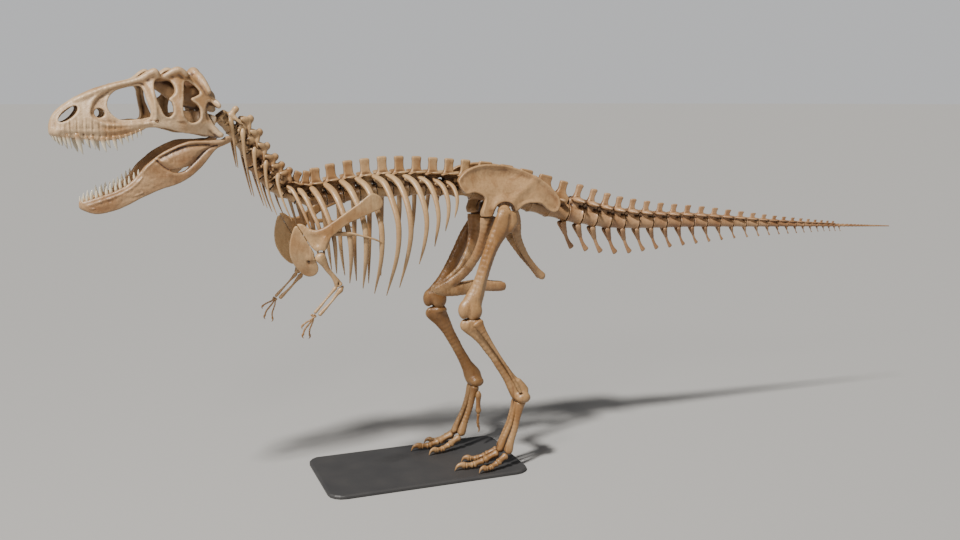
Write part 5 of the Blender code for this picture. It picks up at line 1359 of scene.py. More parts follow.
wideWay = (1, 0, 0)
for name, side, node in (("ribsLeft", -1, "trunk_left"), ("ribsRight", 1, "trunk_right")):
    piece(name, sweepLines(name, makeRibs(side), bone["bodyBone"], ribs["flatness"], ribs["sides"],
        wideWay), None, "body_bone", node)
hanging = {-1: makeNeckRibs(-1), 1: makeNeckRibs(1)}
for name, first, last, node in (("neckRibsFront", 0, 3, "neck_front"), ("neckRibsRear", 3, 5, "neck_rear")):
    lines = [line for side in (-1, 1) for line in hanging[side][2 * first:2 * last]]
    piece(name, sweepLines(name, lines, bone["bodyBone"], neckRibs["flatness"], neckRibs["sides"], wideWay),
        None, "body_bone", node)
dropTemplates(neckFrontShape, neckRearShape, bodyShape)
print("ribs made")

sacralShape = {
    "step": 0.01, "length": 0.27, "wide": 0.12, "tall": 0.128, "waist": 0.86, "top": 0.425,
    "plate": ((-0.135, 0.2), (-0.13, 0.27), (-0.1, 0.3), (-0.082, 0.34), (-0.082, 0.4), (-0.075, 0.42),
        (0.085, 0.425), (0.098, 0.4), (0.094, 0.34), (0.11, 0.3), (0.135, 0.27), (0.135, 0.2), (0.1, 0.08),
        (-0.1, 0.08)),
    "lastPlate": ((-0.115, 0.17), (-0.1, 0.22), (-0.06, 0.25), (-0.04, 0.3), (-0.036, 0.37), (-0.04, 0.405),
        (-0.026, 0.422), (0.058, 0.422), (0.074, 0.405), (0.07, 0.37), (0.066, 0.3), (0.084, 0.25),
        (0.12, 0.215), (0.125, 0.18), (0.1, 0.08), (-0.1, 0.08)),
    "lastRib": ((-0.02, 0.05, 0.13), (-0.01, 0.12, 0.15), (0.01, 0.165, 0.15)),
    "lastRibHalf": ((0.03, 0.075), (0.024, 0.055), (0.018, 0.035)),
    "rib": ((-0.02, 0.05, 0.08), (-0.02, 0.13, 0.1), (-0.02, 0.168, 0.14)),
    "ribHalf": ((0.07, 0.07), (0.05, 0.045), (0.07, 0.075)),
    "wing": ((0.0, 0.03, 0.22), (0.0, 0.1, 0.25), (0.0, 0.14, 0.27)),
    "wingHalf": ((0.02, 0.07), (0.016, 0.05), (0.022, 0.05)),
}


def makeSacralShape(name, last):
    s = sacralShape
    clay = Clay((-0.15, -0.22, -0.14), (0.15, 0.22, 0.45), s["step"])
    spool(clay, s["length"], s["wide"], s["tall"], s["waist"], dish=0.0)
    clay.sheet(s["lastPlate" if last else "plate"], 1, lambda a, b: 0 * a, lambda a,
        b: np.interp(b, (0.08, 0.2, 0.3, 0.38, 0.42), (0.06, 0.05, 0.024, 0.022, 0.028)), 0.02, 0.012)
    bothSides(clay, s["lastRib" if last else "rib"], s["lastRibHalf" if last else "ribHalf"])
    if not last:
        bothSides(clay, s["wing"], s["wingHalf"])
    verts, quads = clay.skin()
    return makeTemplate(name, roughen(verts, quads, ((0.06, 0.002, 15),)), quads)


tailShape = {
    "step": 0.0105, "length": 0.206, "wide": 0.104, "tall": 0.11, "waist": 0.84, "top": 0.346,
    "plate": ((-0.052, 0.155), (-0.046, 0.19), (-0.032, 0.215), (-0.024, 0.25), (-0.02, 0.3),
        (-0.02, 0.328), (-0.01, 0.342), (0.004, 0.346), (0.058, 0.346), (0.072, 0.34), (0.076, 0.326),
        (0.068, 0.3), (0.056, 0.25), (0.054, 0.215), (0.07, 0.195), (0.078, 0.165), (0.046, 0.145),
        (-0.03, 0.145)),
    "leaf": ((-0.074, 0.02, 0.16), (-0.035, 0.058, 0.166), (0.01, 0.08, 0.168), (0.07, 0.066, 0.17),
        (0.13, 0.038, 0.184)),
    "leafHalf": ((0.009, 0.014), (0.022, 0.034), (0.027, 0.044), (0.019, 0.034), (0.007, 0.01)),
    "post": ((0.0, 0.028, 0.16), (0.0, 0.036, 0.08)), "postHalf": ((0.014, 0.04), (0.018, 0.052)),
    "wing": ((-0.01, 0.05, 0.158), (0.008, 0.1, 0.16), (0.04, 0.165, 0.158)),
    "wingHalf": ((0.018, 0.056), (0.015, 0.044), (0.01, 0.02)),
}


def makeTailShape(name, wings, spined=True):
    t = tailShape
    clay = Clay((-0.13, -0.24 if wings else -0.12, -0.13), (0.15, 0.24 if wings else 0.12, 0.37), t["step"])
    spool(clay, t["length"], t["wide"], t["tall"], t["waist"], rim=0.01, dish=0.006)
    if spined:
        clay.sheet(t["plate"], 1, lambda a, b: 0 * a, lambda a, b: np.interp(b, (0.15, 0.2, 0.25, 0.31,
            0.345), (0.034, 0.028, 0.021, 0.02, 0.027)), 0.014, 0.013)
        bothSides(clay, t["leaf"], t["leafHalf"], (0, 0, 1), 0.014)
        bothSides(clay, t["post"], t["postHalf"], (0, 1, 0), 0.014)
        # side walls of the canal
        clay.limb([(-0.08, 0, 0.132), (0.098, 0, 0.138)], [(0.038, 0.04)] * 2, (0, 1, 0), 0.012)
        clay.limb([(-0.14, 0, 0.122), (0.15, 0, 0.122)], [(0.015, 0.015)] * 2, (0, 1, 0), 0.006, carve=True)
    else:
        clay.limb([(-0.09, 0, 0.1), (0.0, 0, 0.125), (0.07, 0, 0.13)], [(0.03, 0.03)] * 3, (0, 1, 0), 0.02)
    if wings:
        bothSides(clay, t["wing"], t["wingHalf"], (0, 0, 1), 0.022)
    verts, quads = clay.skin()
    return makeTemplate(name, roughen(verts, quads, ((0.05, 0.0018, 21), (0.02, 0.0005, 22))), quads)


chevronShape = {
    "drop": 0.36, "step": 0.0085,
    "prong": ((0.0, 0.05, 0.008), (0.012, 0.044, -0.035), (0.04, 0.018, -0.105), (0.055, 0.004, -0.145)),
    "prongHalf": ((0.018, 0.044), (0.016, 0.04), (0.016, 0.034), (0.016, 0.03)),
    "blade": ((0.05, 0.0, -0.13), (0.075, 0.0, -0.2), (0.11, 0.0, -0.275), (0.158, 0.0, -0.348)),
    "bladeHalf": ((0.016, 0.031), (0.014, 0.025), (0.014, 0.028), (0.018, 0.042)),
}


def makeChevronShape():
    c = chevronShape
    clay = Clay((-0.06, -0.08, -0.39), (0.2, 0.08, 0.03), c["step"])
    bothSides(clay, c["prong"], c["prongHalf"], (0, 1, 0), 0.012)
    clay.limb(c["blade"], c["bladeHalf"], (0, 1, 0), 0.014)
    clay.limb([(-0.05, 0, -0.012), (0.05, 0, -0.012)], [(0.022, 0.016)] * 2, (0, 1, 0), 0.006, carve=True)
    verts, quads = clay.skin()
    return makeTemplate("chevronShape", roughen(verts, quads, ((0.04, 0.0012, 31),)), quads)


def tailSpots(first, last):
    winged, plain, end = [], [], []
    for i in range(first, last):
        s0, s1 = tailJoints[i], tailJoints[i + 1]
        at, ahead, across, up = spineFrame((s0 + s1) / 2)
        small = readTable(spine["halfHeight"], at[0]) / tailShape["tall"]
        lean = 0.028 if i < spine["spined"] else 0
        top = readTable(spine["tailTops"], at[0] + lean) - at[2]
        grow = max(top * (up[2]) / tailShape["top"], small * 0.6)
        spot = (at + body["hip"], turnTo(ahead, across, up),
            ((s1 - s0 - min(0.02, (s1 - s0) * 0.1)) / tailShape["length"], small, (grow + small) / 2))
        (winged if i < spine["winged"] else plain if i < spine["spined"] else end).append(spot)
    return winged, plain, end


def chevronSpots(first, last):
    out = []
    for i in range(first, min(last, spine["chevrons"] + 1)):
        at, ahead, across, up = spineFrame(tailJoints[i])
        size = readTable(spine["halfHeight"], at[0])
        drop = readTable(spine["chevronDrops"], at[0]) / chevronShape["drop"]
        out.append((at - up * size * 0.99 + body["hip"] - (0.012, 0, 0.0), (0, 0, 0),
            (drop, min(drop * 1.1, size / 0.1), drop)))
    return out


sacralPart = makeSacralShape("sacralShape", False)
lastSacral = makeSacralShape("lastSacralShape", True)
wingedPart = makeTailShape("wingedShape", True)
plainPart = makeTailShape("plainShape", False)
endPart = makeTailShape("endShape", False, False)
chevronPart = makeChevronShape()
sacralSpots = spots(sacralJoints, spine["sacralTops"], sacralShape, True)
piece("sacrumBones", joinMeshes("sacrumBones", bone["hipBone"], plantParts("sacrumStart", sacralSpots[:-1],
    sacralPart, bone["hipBone"]), plantParts("sacrumEnd", sacralSpots[-1:], lastSacral, bone["hipBone"])),
    None, "hip_bone", "sacrum")
splits = spine["tailSplits"]
for k in range(len(splits) - 1):
    name = "tailBones%d" % (k + 1)
    winged, plain, end = tailSpots(splits[k], splits[k + 1])
    made = [plantParts(name + label, some, part, bone["tailBone"]) for label, some,
        part in (("Winged", winged, wingedPart), ("Plain", plain, plainPart), ("End", end, endPart),
        ("Below", chevronSpots(splits[k], splits[k + 1]), chevronPart)) if some]
    piece(name, joinMeshes(name, bone["tailBone"], *made), None, "tail_bone", "tail_%d" % (k + 1))
dropTemplates(sacralPart, lastSacral, wingedPart, plainPart, endPart, chevronPart)
print("sacrum and tail made")

def bonePiece(name, clay, slot, finish, node, side, layers=((0.09, 0.0028, 41), (0.03, 0.0008, 42)),
        hollows=6, gain=1.0):
    # a bone shaped for the right side, turned over for the left
    verts, quads = clay.skin()
    verts = roughen(verts, quads, layers)
    if side < 0:
        verts, quads = mirrored(verts, quads)
    return piece(name, meshFrom(name, place(verts, at=body["hip"]), quads), bone[finish], slot, node,
        hollows=hollows, gain=gain)


hip = {
    "step": 0.009, "joint": 3.332,
    "outline": ((-0.61, 3.88), (-0.65, 3.81), (-0.61, 3.71), (-0.54, 3.65), (-0.44, 3.665), (-0.35, 3.64),
        (-0.28, 3.58), (-0.305, 3.47), (-0.325, 3.4), (-0.3, 3.34), (-0.25, 3.32), (-0.18, 3.35),
        (-0.14, 3.46), (-0.07, 3.515), (0.03, 3.52), (0.09, 3.48), (0.12, 3.42), (0.155, 3.4), (0.21, 3.44),
        (0.29, 3.49), (0.42, 3.5), (0.52, 3.48), (0.62, 3.39), (0.71, 3.365), (0.77, 3.42), (0.775, 3.53),
        (0.69, 3.66), (0.51, 3.81), (0.31, 3.91), (0.07, 3.985), (-0.12, 4.01), (-0.31, 4.01),
        (-0.5, 3.96)),
    "lean": ((3.33, 0.27), (3.55, 0.27), (3.75, 0.25), (4.01, 0.205)), "splay": 0.045,
    "frontFoot": ((-0.2, 0.262, 3.56), (-0.25, 0.262, 3.44), (-0.258, 0.25, 3.37)),
    "frontHalf": ((0.026, 0.056), (0.044, 0.046), (0.06, 0.068)),
    "rearFoot": ((0.17, 0.262, 3.52), (0.155, 0.258, 3.44)), "rearHalf": ((0.026, 0.055), (0.044, 0.042)),
    "bowl": (-0.06, 3.865, 0.34, 0.12, 0.042), "flare": (-0.02, 3.4, 0.165, 0.034),
    "ridge": ((0.12, 3.56), (0.44, 3.81)),
    "shaft": ((-0.225, 0.245, 3.325), (-0.25, 0.205, 3.08), (-0.335, 0.145, 2.84), (-0.49, 0.092, 2.6),
        (-0.7, 0.062, 2.445), (-0.865, 0.052, 2.38)),
    "shaftHalf": ((0.06, 0.105), (0.042, 0.082), (0.036, 0.066), (0.036, 0.064), (0.038, 0.058),
        (0.034, 0.046)),
    "shelf": ((-0.2, 0.205, 3.23), (-0.05, 0.19, 3.25), (0.07, 0.19, 3.24)),
    "shelfHalf": ((0.04, 0.07), (0.03, 0.045), (0.03, 0.032)),
    "boot": ((-0.885, 0.05, 2.375), (-0.72, 0.052, 2.345), (-0.45, 0.052, 2.365), (-0.22, 0.05, 2.385),
        (-0.02, 0.046, 2.362), (0.085, 0.042, 2.358)),
    "bootHalf": ((0.03, 0.05), (0.04, 0.066), (0.04, 0.082), (0.036, 0.072), (0.034, 0.064),
        (0.032, 0.058)),
    "sitting": ((0.165, 0.235, 3.375), (0.19, 0.205, 3.24), (0.235, 0.155, 3.03), (0.37, 0.1, 2.79),
        (0.54, 0.066, 2.58), (0.645, 0.05, 2.465)),
    "sittingHalf": ((0.046, 0.048), (0.038, 0.07), (0.03, 0.056), (0.025, 0.04), (0.026, 0.036),
        (0.032, 0.05)),
    "flange": ((0.215, 0.19, 3.16), (0.11, 0.175, 3.15)), "flangeHalf": ((0.026, 0.07), (0.018, 0.04)),
}


def makeIlium():
    clay = Clay((-0.67, 0.12, hip["joint"] + 0.004), (0.8, 0.38, 4.03), hip["step"])
    outline = spline(hip["outline"], 3, closed=True)
    x, y, z = clay.grid()
    depth = -outlineDistance(outline, x, z)[:, 0, :]

    def middle(a, b):
        # wide bowl above, flare over the socket, and a soft ridge up to the rear
        out = easeTable(hip["lean"], b, 0.05) + hip["splay"] * np.abs(a - 0.05)
        (ba, bb, wide, tall, deep), (sa, sb, reach, flare) = hip["bowl"], hip["flare"]
        out = out - deep * np.exp(-((a - ba) / wide) ** 2 - ((b - bb) / tall) ** 2)
        ring = np.hypot(a - sa, b - sb) - reach
        out = out + flare * np.exp(-(ring / 0.06) ** 2) * (1 / (1 + np.exp((sb + 0.03 - b) / 0.02)))
        (ra, rb), (ea, eb) = hip["ridge"]
        along = np.clip(((a - ra) * (ea - ra) + (b - rb) * (eb - rb)) / ((ea - ra) ** 2 + (eb - rb) ** 2),
            0, 1)
        away = np.hypot(a - ra - along * (ea - ra), b - rb - along * (eb - rb))
        return out + 0.016 * np.exp(-(away / 0.055) ** 2) - 0.01 * np.exp(-(((a - 0.62) / 0.1) ** 2
            + ((b - 3.53) / 0.09) ** 2))

    def half(a, b):
        # thick rounded rim, thin sunken middle, swollen front lobe
        d = np.clip(depth[:, None, :], 0, 1)
        return 0.014 + 0.022 * np.exp(-(d / 0.042) ** 2) + 0.012 * np.exp(-((a + 0.55) / 0.13) ** 2)

    clay.sheet(outline, 1, middle, half, 0.0, 0.014)
    clay.limb(hip["frontFoot"], hip["frontHalf"], (0, 1, 0), 0.05)
    clay.limb(hip["rearFoot"], hip["rearHalf"], (0, 1, 0), 0.05)
    clay.ball((-0.02, 0.26, 3.395), (0.115, 0.16, 0.118), 0.012, carve=True)
    clay.field[:, :, clay.axes[2] < hip["joint"] + 0.006] = 0.1
    return clay


def makePubis():
    clay = Clay((-0.96, 0.004, 2.26), (0.16, 0.34, hip["joint"] - 0.004), hip["step"])
    clay.limb(hip["shaft"], hip["shaftHalf"])
    clay.limb(hip["shelf"], hip["shelfHalf"], (0, 1, 0), 0.03)
    clay.limb(hip["boot"], hip["bootHalf"], (0, 1, 0), 0.035)
    clay.field[:, :, clay.axes[2] > hip["joint"] - 0.006] = 0.1
    clay.field[:, clay.axes[1] < 0.003, :] = 0.1
    return clay


def makeIschium():
    clay = Clay((0.05, 0.004, 2.38), (0.72, 0.3, 3.43), 0.008)
    clay.limb(hip["sitting"], hip["sittingHalf"])
    clay.limb(hip["flange"], hip["flangeHalf"], (0, 1, 0), 0.03)
    clay.ball((0.645, 0.045, 2.462), (0.056, 0.034, 0.048), 0.02, (0, 40, 0))
    return clay


shoulder = {
    "step": 0.008,
    "blade": ((-1.93, 3.735), (-1.855, 3.735), (-1.79, 3.69), (-1.765, 3.62), (-1.8, 3.555), (-1.9, 3.515),
        (-2.05, 3.455), (-2.2, 3.395), (-2.33, 3.3), (-2.42, 3.225), (-2.475, 3.15), (-2.48, 3.09),
        (-2.535, 3.065), (-2.6, 3.09), (-2.68, 3.2), (-2.76, 3.3), (-2.805, 3.355), (-2.785, 3.395),
        (-2.73, 3.395), (-2.66, 3.345), (-2.59, 3.32), (-2.5, 3.345), (-2.36, 3.435), (-2.2, 3.545),
        (-2.05, 3.645)),
    "across": ((-2.82, 0.59), (-2.7, 0.625), (-2.56, 0.67), (-2.4, 0.715), (-2.2, 0.742), (-1.95, 0.742),
        (-1.75, 0.728)),
    "thick": ((-2.82, 0.02), (-2.65, 0.024), (-2.5, 0.03), (-2.35, 0.024), (-2.15, 0.016), (-1.9, 0.013),
        (-1.75, 0.011)),
    "shield": ((-2.785, 3.375), (-2.845, 3.27), (-2.87, 3.13), (-2.855, 2.99), (-2.79, 2.86), (-2.7, 2.765),
        (-2.62, 2.742), (-2.555, 2.775), (-2.535, 2.85), (-2.56, 2.93), (-2.59, 3.01), (-2.595, 3.11),
        (-2.665, 3.225)),
}


def makeScapula():
    clay = Clay((-2.83, 0.55, 3.04), (-1.74, 0.79, 3.76), shoulder["step"])
    outline = spline(shoulder["blade"], 3, closed=True)
    clay.sheet(outline, 1, lambda a, b: easeTable(shoulder["across"], a, 0.06) + 0.05 * (3.3 - b)
        * (a < -2.4), lambda a, b: easeTable(shoulder["thick"], a, 0.05), 0.0, 0.01)
    clay.limb([(-2.46, 0.705, 3.22), (-2.5, 0.69, 3.13)], [(0.036, 0.05), (0.046, 0.05)], (0, 1, 0), 0.03)
    clay.limb([(-2.74, 0.62, 3.36), (-2.6, 0.668, 3.285), (-2.4, 0.725, 3.33)],
        [(0.012, 0.03), (0.02, 0.03), (0.01, 0.03)], (0, 1, 0), 0.03)
    clay.ball((-2.62, 0.705, 3.215), (0.09, 0.03, 0.05), 0.04, (0, 42, 0), carve=True)
    clay.ball((-2.545, 0.69, 3.055), (0.055, 0.06, 0.028), 0.012, (0, -20, 0), carve=True)
    return trimClay(clay, (-2.685, 3.215), (0.87, 0.49), 0.003)


def makeCoracoid():
    clay = Clay((-2.88, 0.38, 2.73), (-2.5, 0.74, 3.37), 0.0075)
    outline = spline(shoulder["shield"], 3, closed=True)

    def middle(a, b):
        return 0.475 + 0.21 * (b - 2.75) + 0.3 * (a + 2.7) + 0.035 * np.sin((b - 2.75) * 5)

    clay.sheet(outline, 1, middle, lambda a, b: 0.017 + 0.012 * (b > 2.95) * (a > -2.64), 0.0, 0.01)
    clay.ball((-2.635, 0.565, 2.99), (0.05, 0.034, 0.055), 0.03)
    clay.ball((-2.655, 0.574, 2.9), (0.024, 0.02, 0.06), 0.01, carve=True)
    return trimClay(clay, (-2.685, 3.215), (-0.87, -0.49), 0.003)


def trimClay(clay, point, keep, gap):
    # cuts the clay along an upright plane seen from the side
    x, y, z = clay.grid()
    size = math.hypot(*keep)
    past = gap - ((x - point[0]) * keep[0] + (z - point[1]) * keep[1]) / size
    clay.field = np.maximum(clay.field, np.broadcast_to(past, clay.field.shape)).astype(np.float32)
    return clay


# arms, with for each finger: reach forward, drop, spread, half width, bones
arms = {
    "step": 0.005, "top": (-2.535, 0.685, 3.015), "elbow": (-2.315, 0.64, 2.655),
    "wrist": (-0.26, 0.03, -0.275), "left": (0.0, 0.0), "right": (-0.24, -0.03),
    "upperHalf": ((0.04, 0.062), (0.034, 0.046), (0.024, 0.03), (0.024, 0.027), (0.034, 0.044)),
    "thin": ((-0.035, 0.0, -0.045), 0.018), "stout": ((0.025, 0.0, -0.075), 0.022),
    "fingers": ((0.175, 0.12, 0.034, 0.0125, 2), (0.155, 0.25, 0.0, 0.013, 3), (0.055, 0.28, -0.034, 0.0115,
        3)),
}


def armPoints(name):
    forward, lift = arms[name]
    top = np.array(arms["top"])
    elbow = np.array(arms["elbow"]) + (forward, 0, lift)
    return top, elbow, elbow + arms["wrist"]


def makeHumerus(name):
    top, elbow = armPoints(name)[:2]
    down = elbow - top
    low = np.minimum(top, elbow) - 0.09
    high = np.maximum(top, elbow) + 0.09
    clay = Clay(low, high, 0.0058)
    path = [top + (0.0, 0, -0.012), top + down * 0.16, top + down * 0.45 + (-0.008, 0, -0.01),
        top + down * 0.72, elbow]
    clay.limb(path, arms["upperHalf"], soft=0.015)
    clay.ball(top + (-0.005, -0.012, 0.002), (0.058, 0.04, 0.036), 0.02, (0, -28, 0))
    crest = top + down * 0.24
    clay.limb([top + (-0.035, 0.01, -0.035), crest + (-0.04, 0.02, 0.0), top + down * 0.46 + (-0.018, 0.006,
        0)], [(0.014, 0.016), (0.014, 0.022), (0.01, 0.01)], soft=0.03)
    for s in (-1, 1):
        clay.ball(elbow + (0.022 * s, 0.008 * s, -0.006 + 0.004 * s), (0.026, 0.03, 0.024), 0.012)
    clay.ball(elbow + (0.0, 0.036, 0.006), (0.014, 0.018, 0.03), 0.012, carve=True)
    return clay


def makeForearm(name, which):
    elbow, wrist = armPoints(name)[1:]
    off, half = arms[which]
    start = elbow + off
    end = wrist + np.array(off) * 0.95
    clay = Clay(np.minimum(start, end) - 0.06, np.maximum(start, end) + 0.06, arms["step"])
    side = np.array((0, 1, 0))
    path = [start, start + (end - start) * 0.2, (start + end) / 2 + np.array(off) * 0.1, end]
    clay.limb(path, [(half * 1.25, half * 1.35), (half * 0.85, half * 0.85), (half * 0.68, half * 0.68),
        (half * 1.05, half * 1.1)], side, 0.01)
    if which == "stout":
        clay.limb([start, start + (0.03, 0, 0.04)], [(0.022, 0.024), (0.014, 0.014)], side, 0.02)
    return clay


def makePhalanx():
    # one toe or finger bone along x from 0 to 1, half width 0.3 at the joints
    clay = Clay((0, -0.34, -0.34), (1.0, 0.34, 0.34), 0.046)
    clay.limb([(0.17, 0, 0), (0.5, 0, 0.02), (0.83, 0, 0)], [(0.26, 0.26), (0.215, 0.22), (0.25, 0.24)],
        soft=0.05)
    clay.ball((0.14, 0, 0), (0.15, 0.3, 0.29), 0.08)
    for s in (-1, 1):
        clay.ball((0.85, s * 0.13, 0.0), (0.15, 0.15, 0.26), 0.06)
    return makeTemplate("phalanx", *clay.skin())


def makeClaw():
    clay = Clay((-0.05, -0.26, -0.5), (1.05, 0.26, 0.34), 0.04)
    clay.limb([(0.1, 0, 0.03), (0.35, 0, 0.1), (0.7, 0, 0.02), (0.985, 0, -0.34)],
        [(0.22, 0.27), (0.17, 0.2), (0.11, 0.13), (0.022, 0.026)], (0, 1, 0), 0.05, fine=8)
    return makeTemplate("claw", *clay.skin(1))


def digitSpots(points, halves):
    # bones from joint to joint, the last one a claw
    jointed, claws = [], []
    for k, (a, b) in enumerate(zip(points, points[1:])):
        a, b = np.array(a, float), np.array(b, float)
        ahead = (b - a) / np.linalg.norm(b - a)
        across = np.array((0, 1, 0)) - ahead * ahead[1]
        across = across / np.linalg.norm(across)
        up = np.cross(ahead, across)
        if up[2] < 0:
            across, up = -across, -up
        long = np.linalg.norm(b - a)
        last = k == len(points) - 2
        wide, tall = halves[k]
        spot = (a + ahead * 0.003 + body["hip"], turnTo(ahead, across, up),
            (long * (1.0 if last else 0.985), wide / (0.22 if last else 0.3),
            tall / (0.27 if last else 0.29)))
        (claws if last else jointed).append(spot)
    return jointed, claws


phalanx = makePhalanx()
claw = makeClaw()


def makeHand(name, side):
    wrist = armPoints(name)[2]
    flip = np.array((1, side, 1))
    palm = wrist + (-0.045, 0.005, -0.095)
    jointed, claws = [], []
    for reach, drop, spread, half, count in arms["fingers"]:
        start = palm + (0.0, spread * 0.7, 0.01)
        knuckle = palm + (-reach * 0.36, spread * 1.1, -drop * 0.28)
        tip = palm + (-reach, spread * 1.8, -drop)
        bend = (knuckle + tip) / 2 + (-0.02, 0.0, 0.012)
        path = spline([start, knuckle, bend, tip], 8)
        cuts = np.linspace(0.3, 1, count + 2)[1:]
        marks = [0.0, 0.3] + list(cuts)
        points = [path[int(round(m * (len(path) - 1)))] * flip for m in marks]
        a, b = digitSpots(points, [(half * 1.05, half)] * (len(points) - 2) + [(half * 0.75, half * 1.25)])
        jointed += a
        claws += b
    # small wrist bones
    for k, (x, y, z) in enumerate(((-0.005, 0.022, 0.03), (0.012, -0.006, 0.022), (-0.018, -0.026, 0.024))):
        spot = (palm + (x - 0.018, y, z)) * flip
        jointed.append((spot + body["hip"], (0.3 * k, 0.9, 0.0), (0.036, 0.06, 0.052)))
    finish = bone["legBone"]
    return joinMeshes("hand", finish, plantParts("fingers", jointed, phalanx, finish), plantParts("nails",
        claws, claw, finish))


legs = {
    "step": 0.0085, "left": {"knee": (-0.555, 0.44, 2.15), "ankle": (0.155, 0.46, 0.955), "toe": -0.12},
    "right": {"knee": (-0.74, 0.44, 2.15), "ankle": (-0.15, 0.46, 0.955), "toe": -0.44},
    "head": (-0.035, 0.335, 3.405), "neckEnd": (-0.045, 0.42, 3.38),
    "femurHalf": ((0.066, 0.115), (0.07, 0.125), (0.064, 0.092), (0.06, 0.084), (0.066, 0.092),
        (0.09, 0.125), (0.105, 0.135)),
    "shinHalf": ((0.088, 0.125), (0.068, 0.102), (0.054, 0.078), (0.05, 0.07), (0.056, 0.08),
        (0.078, 0.112), (0.086, 0.11)),
    "outerHalf": ((0.03, 0.07), (0.024, 0.044), (0.017, 0.024), (0.015, 0.019), (0.019, 0.024)),
    "spread": {2: -0.135, 3: 0.0, 4: 0.115}, "reach": {2: 0.49, 3: 0.62, 4: 0.43},
    "metaHalf": ((0.036, 0.06), (0.031, 0.046), (0.028, 0.041), (0.034, 0.048), (0.044, 0.058)),
}


def makeFemur(name):
    pose = legs[name]
    head, neckEnd, knee = (np.array(p) for p in (legs["head"], legs["neckEnd"], pose["knee"]))
    low = np.minimum(head, knee) - (0.25, 0.09, 0.17)
    high = np.maximum(head, knee) + (0.22, 0.13, 0.12)
    clay = Clay(low, high, legs["step"])
    run = knee - neckEnd
    path = [neckEnd + (0.0, 0.012, 0.005), neckEnd + (-0.055, 0.012, -0.15), neckEnd + run * 0.3 + (-0.025,
        0.005, 0), neckEnd + run * 0.5 + (-0.02, 0, 0), neckEnd + run * 0.72, neckEnd + run * 0.9,
        knee + (0.015, 0, 0.045)]
    clay.limb(path, legs["femurHalf"])
    clay.ball(head, (0.09, 0.08, 0.088), 0.05)
    # outer knob and the crest below it
    clay.limb([neckEnd + (0.085, 0.035, -0.02), neckEnd + (0.105, 0.035, -0.1), neckEnd + (0.055, 0.03,
        -0.22)], [(0.036, 0.05), (0.034, 0.044), (0.018, 0.024)], soft=0.045)
    clay.limb([neckEnd + (-0.095, 0.03, -0.03), neckEnd + (-0.135, 0.03, -0.15)],
        [(0.026, 0.03), (0.016, 0.022)], (0, 1, 0), 0.04)
    clay.limb([neckEnd + (0.035, 0.085, -0.015), neckEnd + (0.03, 0.095, -0.14), neckEnd + (-0.02, 0.09,
        -0.27)], [(0.018, 0.014), (0.02, 0.018), (0.008, 0.01)], (0, 1, 0), 0.035, carve=True)
    # shaft ridge on the outer side
    clay.limb([neckEnd + run * 0.28 + (-0.015, 0.066, 0), neckEnd + run * 0.55 + (-0.01, 0.062, 0),
        neckEnd + run * 0.85 + (0.01, 0.07, 0)], [(0.01, 0.018), (0.012, 0.016), (0.01, 0.022)], soft=0.04)
    # knee bulbs with the grooves between them
    for s, x, size in ((-1, 0.055, 1.0), (1, 0.05, 1.05)):
        clay.ball(knee + (x, s * 0.058, -0.015), (0.096 * size, 0.062, 0.105 * size), 0.035, (0, 18, 0))
    clay.ball(knee + (-0.085, 0.012, 0.01), (0.07, 0.075, 0.11), 0.04)
    clay.limb([knee + (-0.015, 0.125, 0.22), knee + (-0.03, 0.122, 0.06), knee + (-0.02, 0.115, -0.12)],
        [(0.016, 0.006), (0.026, 0.012), (0.028, 0.016)], (0, 1, 0), 0.022, carve=True)
    clay.limb([knee + (0.14, 0, 0.16), knee + (0.155, 0, 0.0), knee + (0.11, 0, -0.12)],
        [(0.014, 0.02), (0.026, 0.04), (0.026, 0.03)], (0, 1, 0), 0.02, carve=True)
    return clay


def shinLine(name):
    knee, ankle = np.array(legs[name]["knee"]), np.array(legs[name]["ankle"])
    return knee + (0.035, 0, -0.155), ankle


def makeTibia(name):
    top, ankle = shinLine(name)
    run = ankle - top
    clay = Clay(np.minimum(top, ankle) - (0.19, 0.13, 0.14), np.maximum(top, ankle) + (0.16, 0.14, 0.07),
        legs["step"])
    path = [top + (0, 0, -0.01), top + run * 0.12, top + run * 0.32, top + run * 0.55, top + run * 0.76,
        top + run * 0.93, ankle]
    clay.limb(path, legs["shinHalf"])
    # crest at the front of the knee, and the two plateaus
    clay.limb([top + (-0.105, -0.01, 0.002), top + (-0.105, 0.0, -0.06), top + run * 0.17 + (-0.085, 0, 0),
        top + run * 0.28 + (-0.05, 0, 0)], [(0.038, 0.042), (0.032, 0.05), (0.02, 0.034), (0.012, 0.016)],
        (0, 1, 0), 0.045)
    for s in (-1, 1):
        clay.ball(top + (0.035, s * 0.05, 0.008), (0.09, 0.058, 0.045), 0.03)
    clay.limb([top + (-0.045, 0.1, 0.03), top + (-0.05, 0.085, -0.1), top + run * 0.18 + (-0.045, 0.07, 0)],
        [(0.016, 0.016), (0.02, 0.018), (0.01, 0.01)], soft=0.03, carve=True)
    # ankle roller
    clay.limb([ankle + (0.005, -0.085, -0.018), ankle + (0.005, 0.0, -0.012), ankle + (0.005, 0.095,
        -0.018)], [(0.1, 0.074), (0.088, 0.064), (0.102, 0.076)], (1, 0, 0), 0.04)
    clay.limb([ankle + (-0.06, 0.04, 0.2), ankle + (-0.082, 0.03, 0.08)], [(0.012, 0.008), (0.02, 0.01)],
        (0, 1, 0), 0.02, carve=True)
    clay.limb([ankle + (-0.045, 0.045, 0.2), ankle + (0.045, 0.045, 0.07)], [(0.026, 0.04), (0.04, 0.055)],
        (0, 1, 0), 0.05)
    return clay


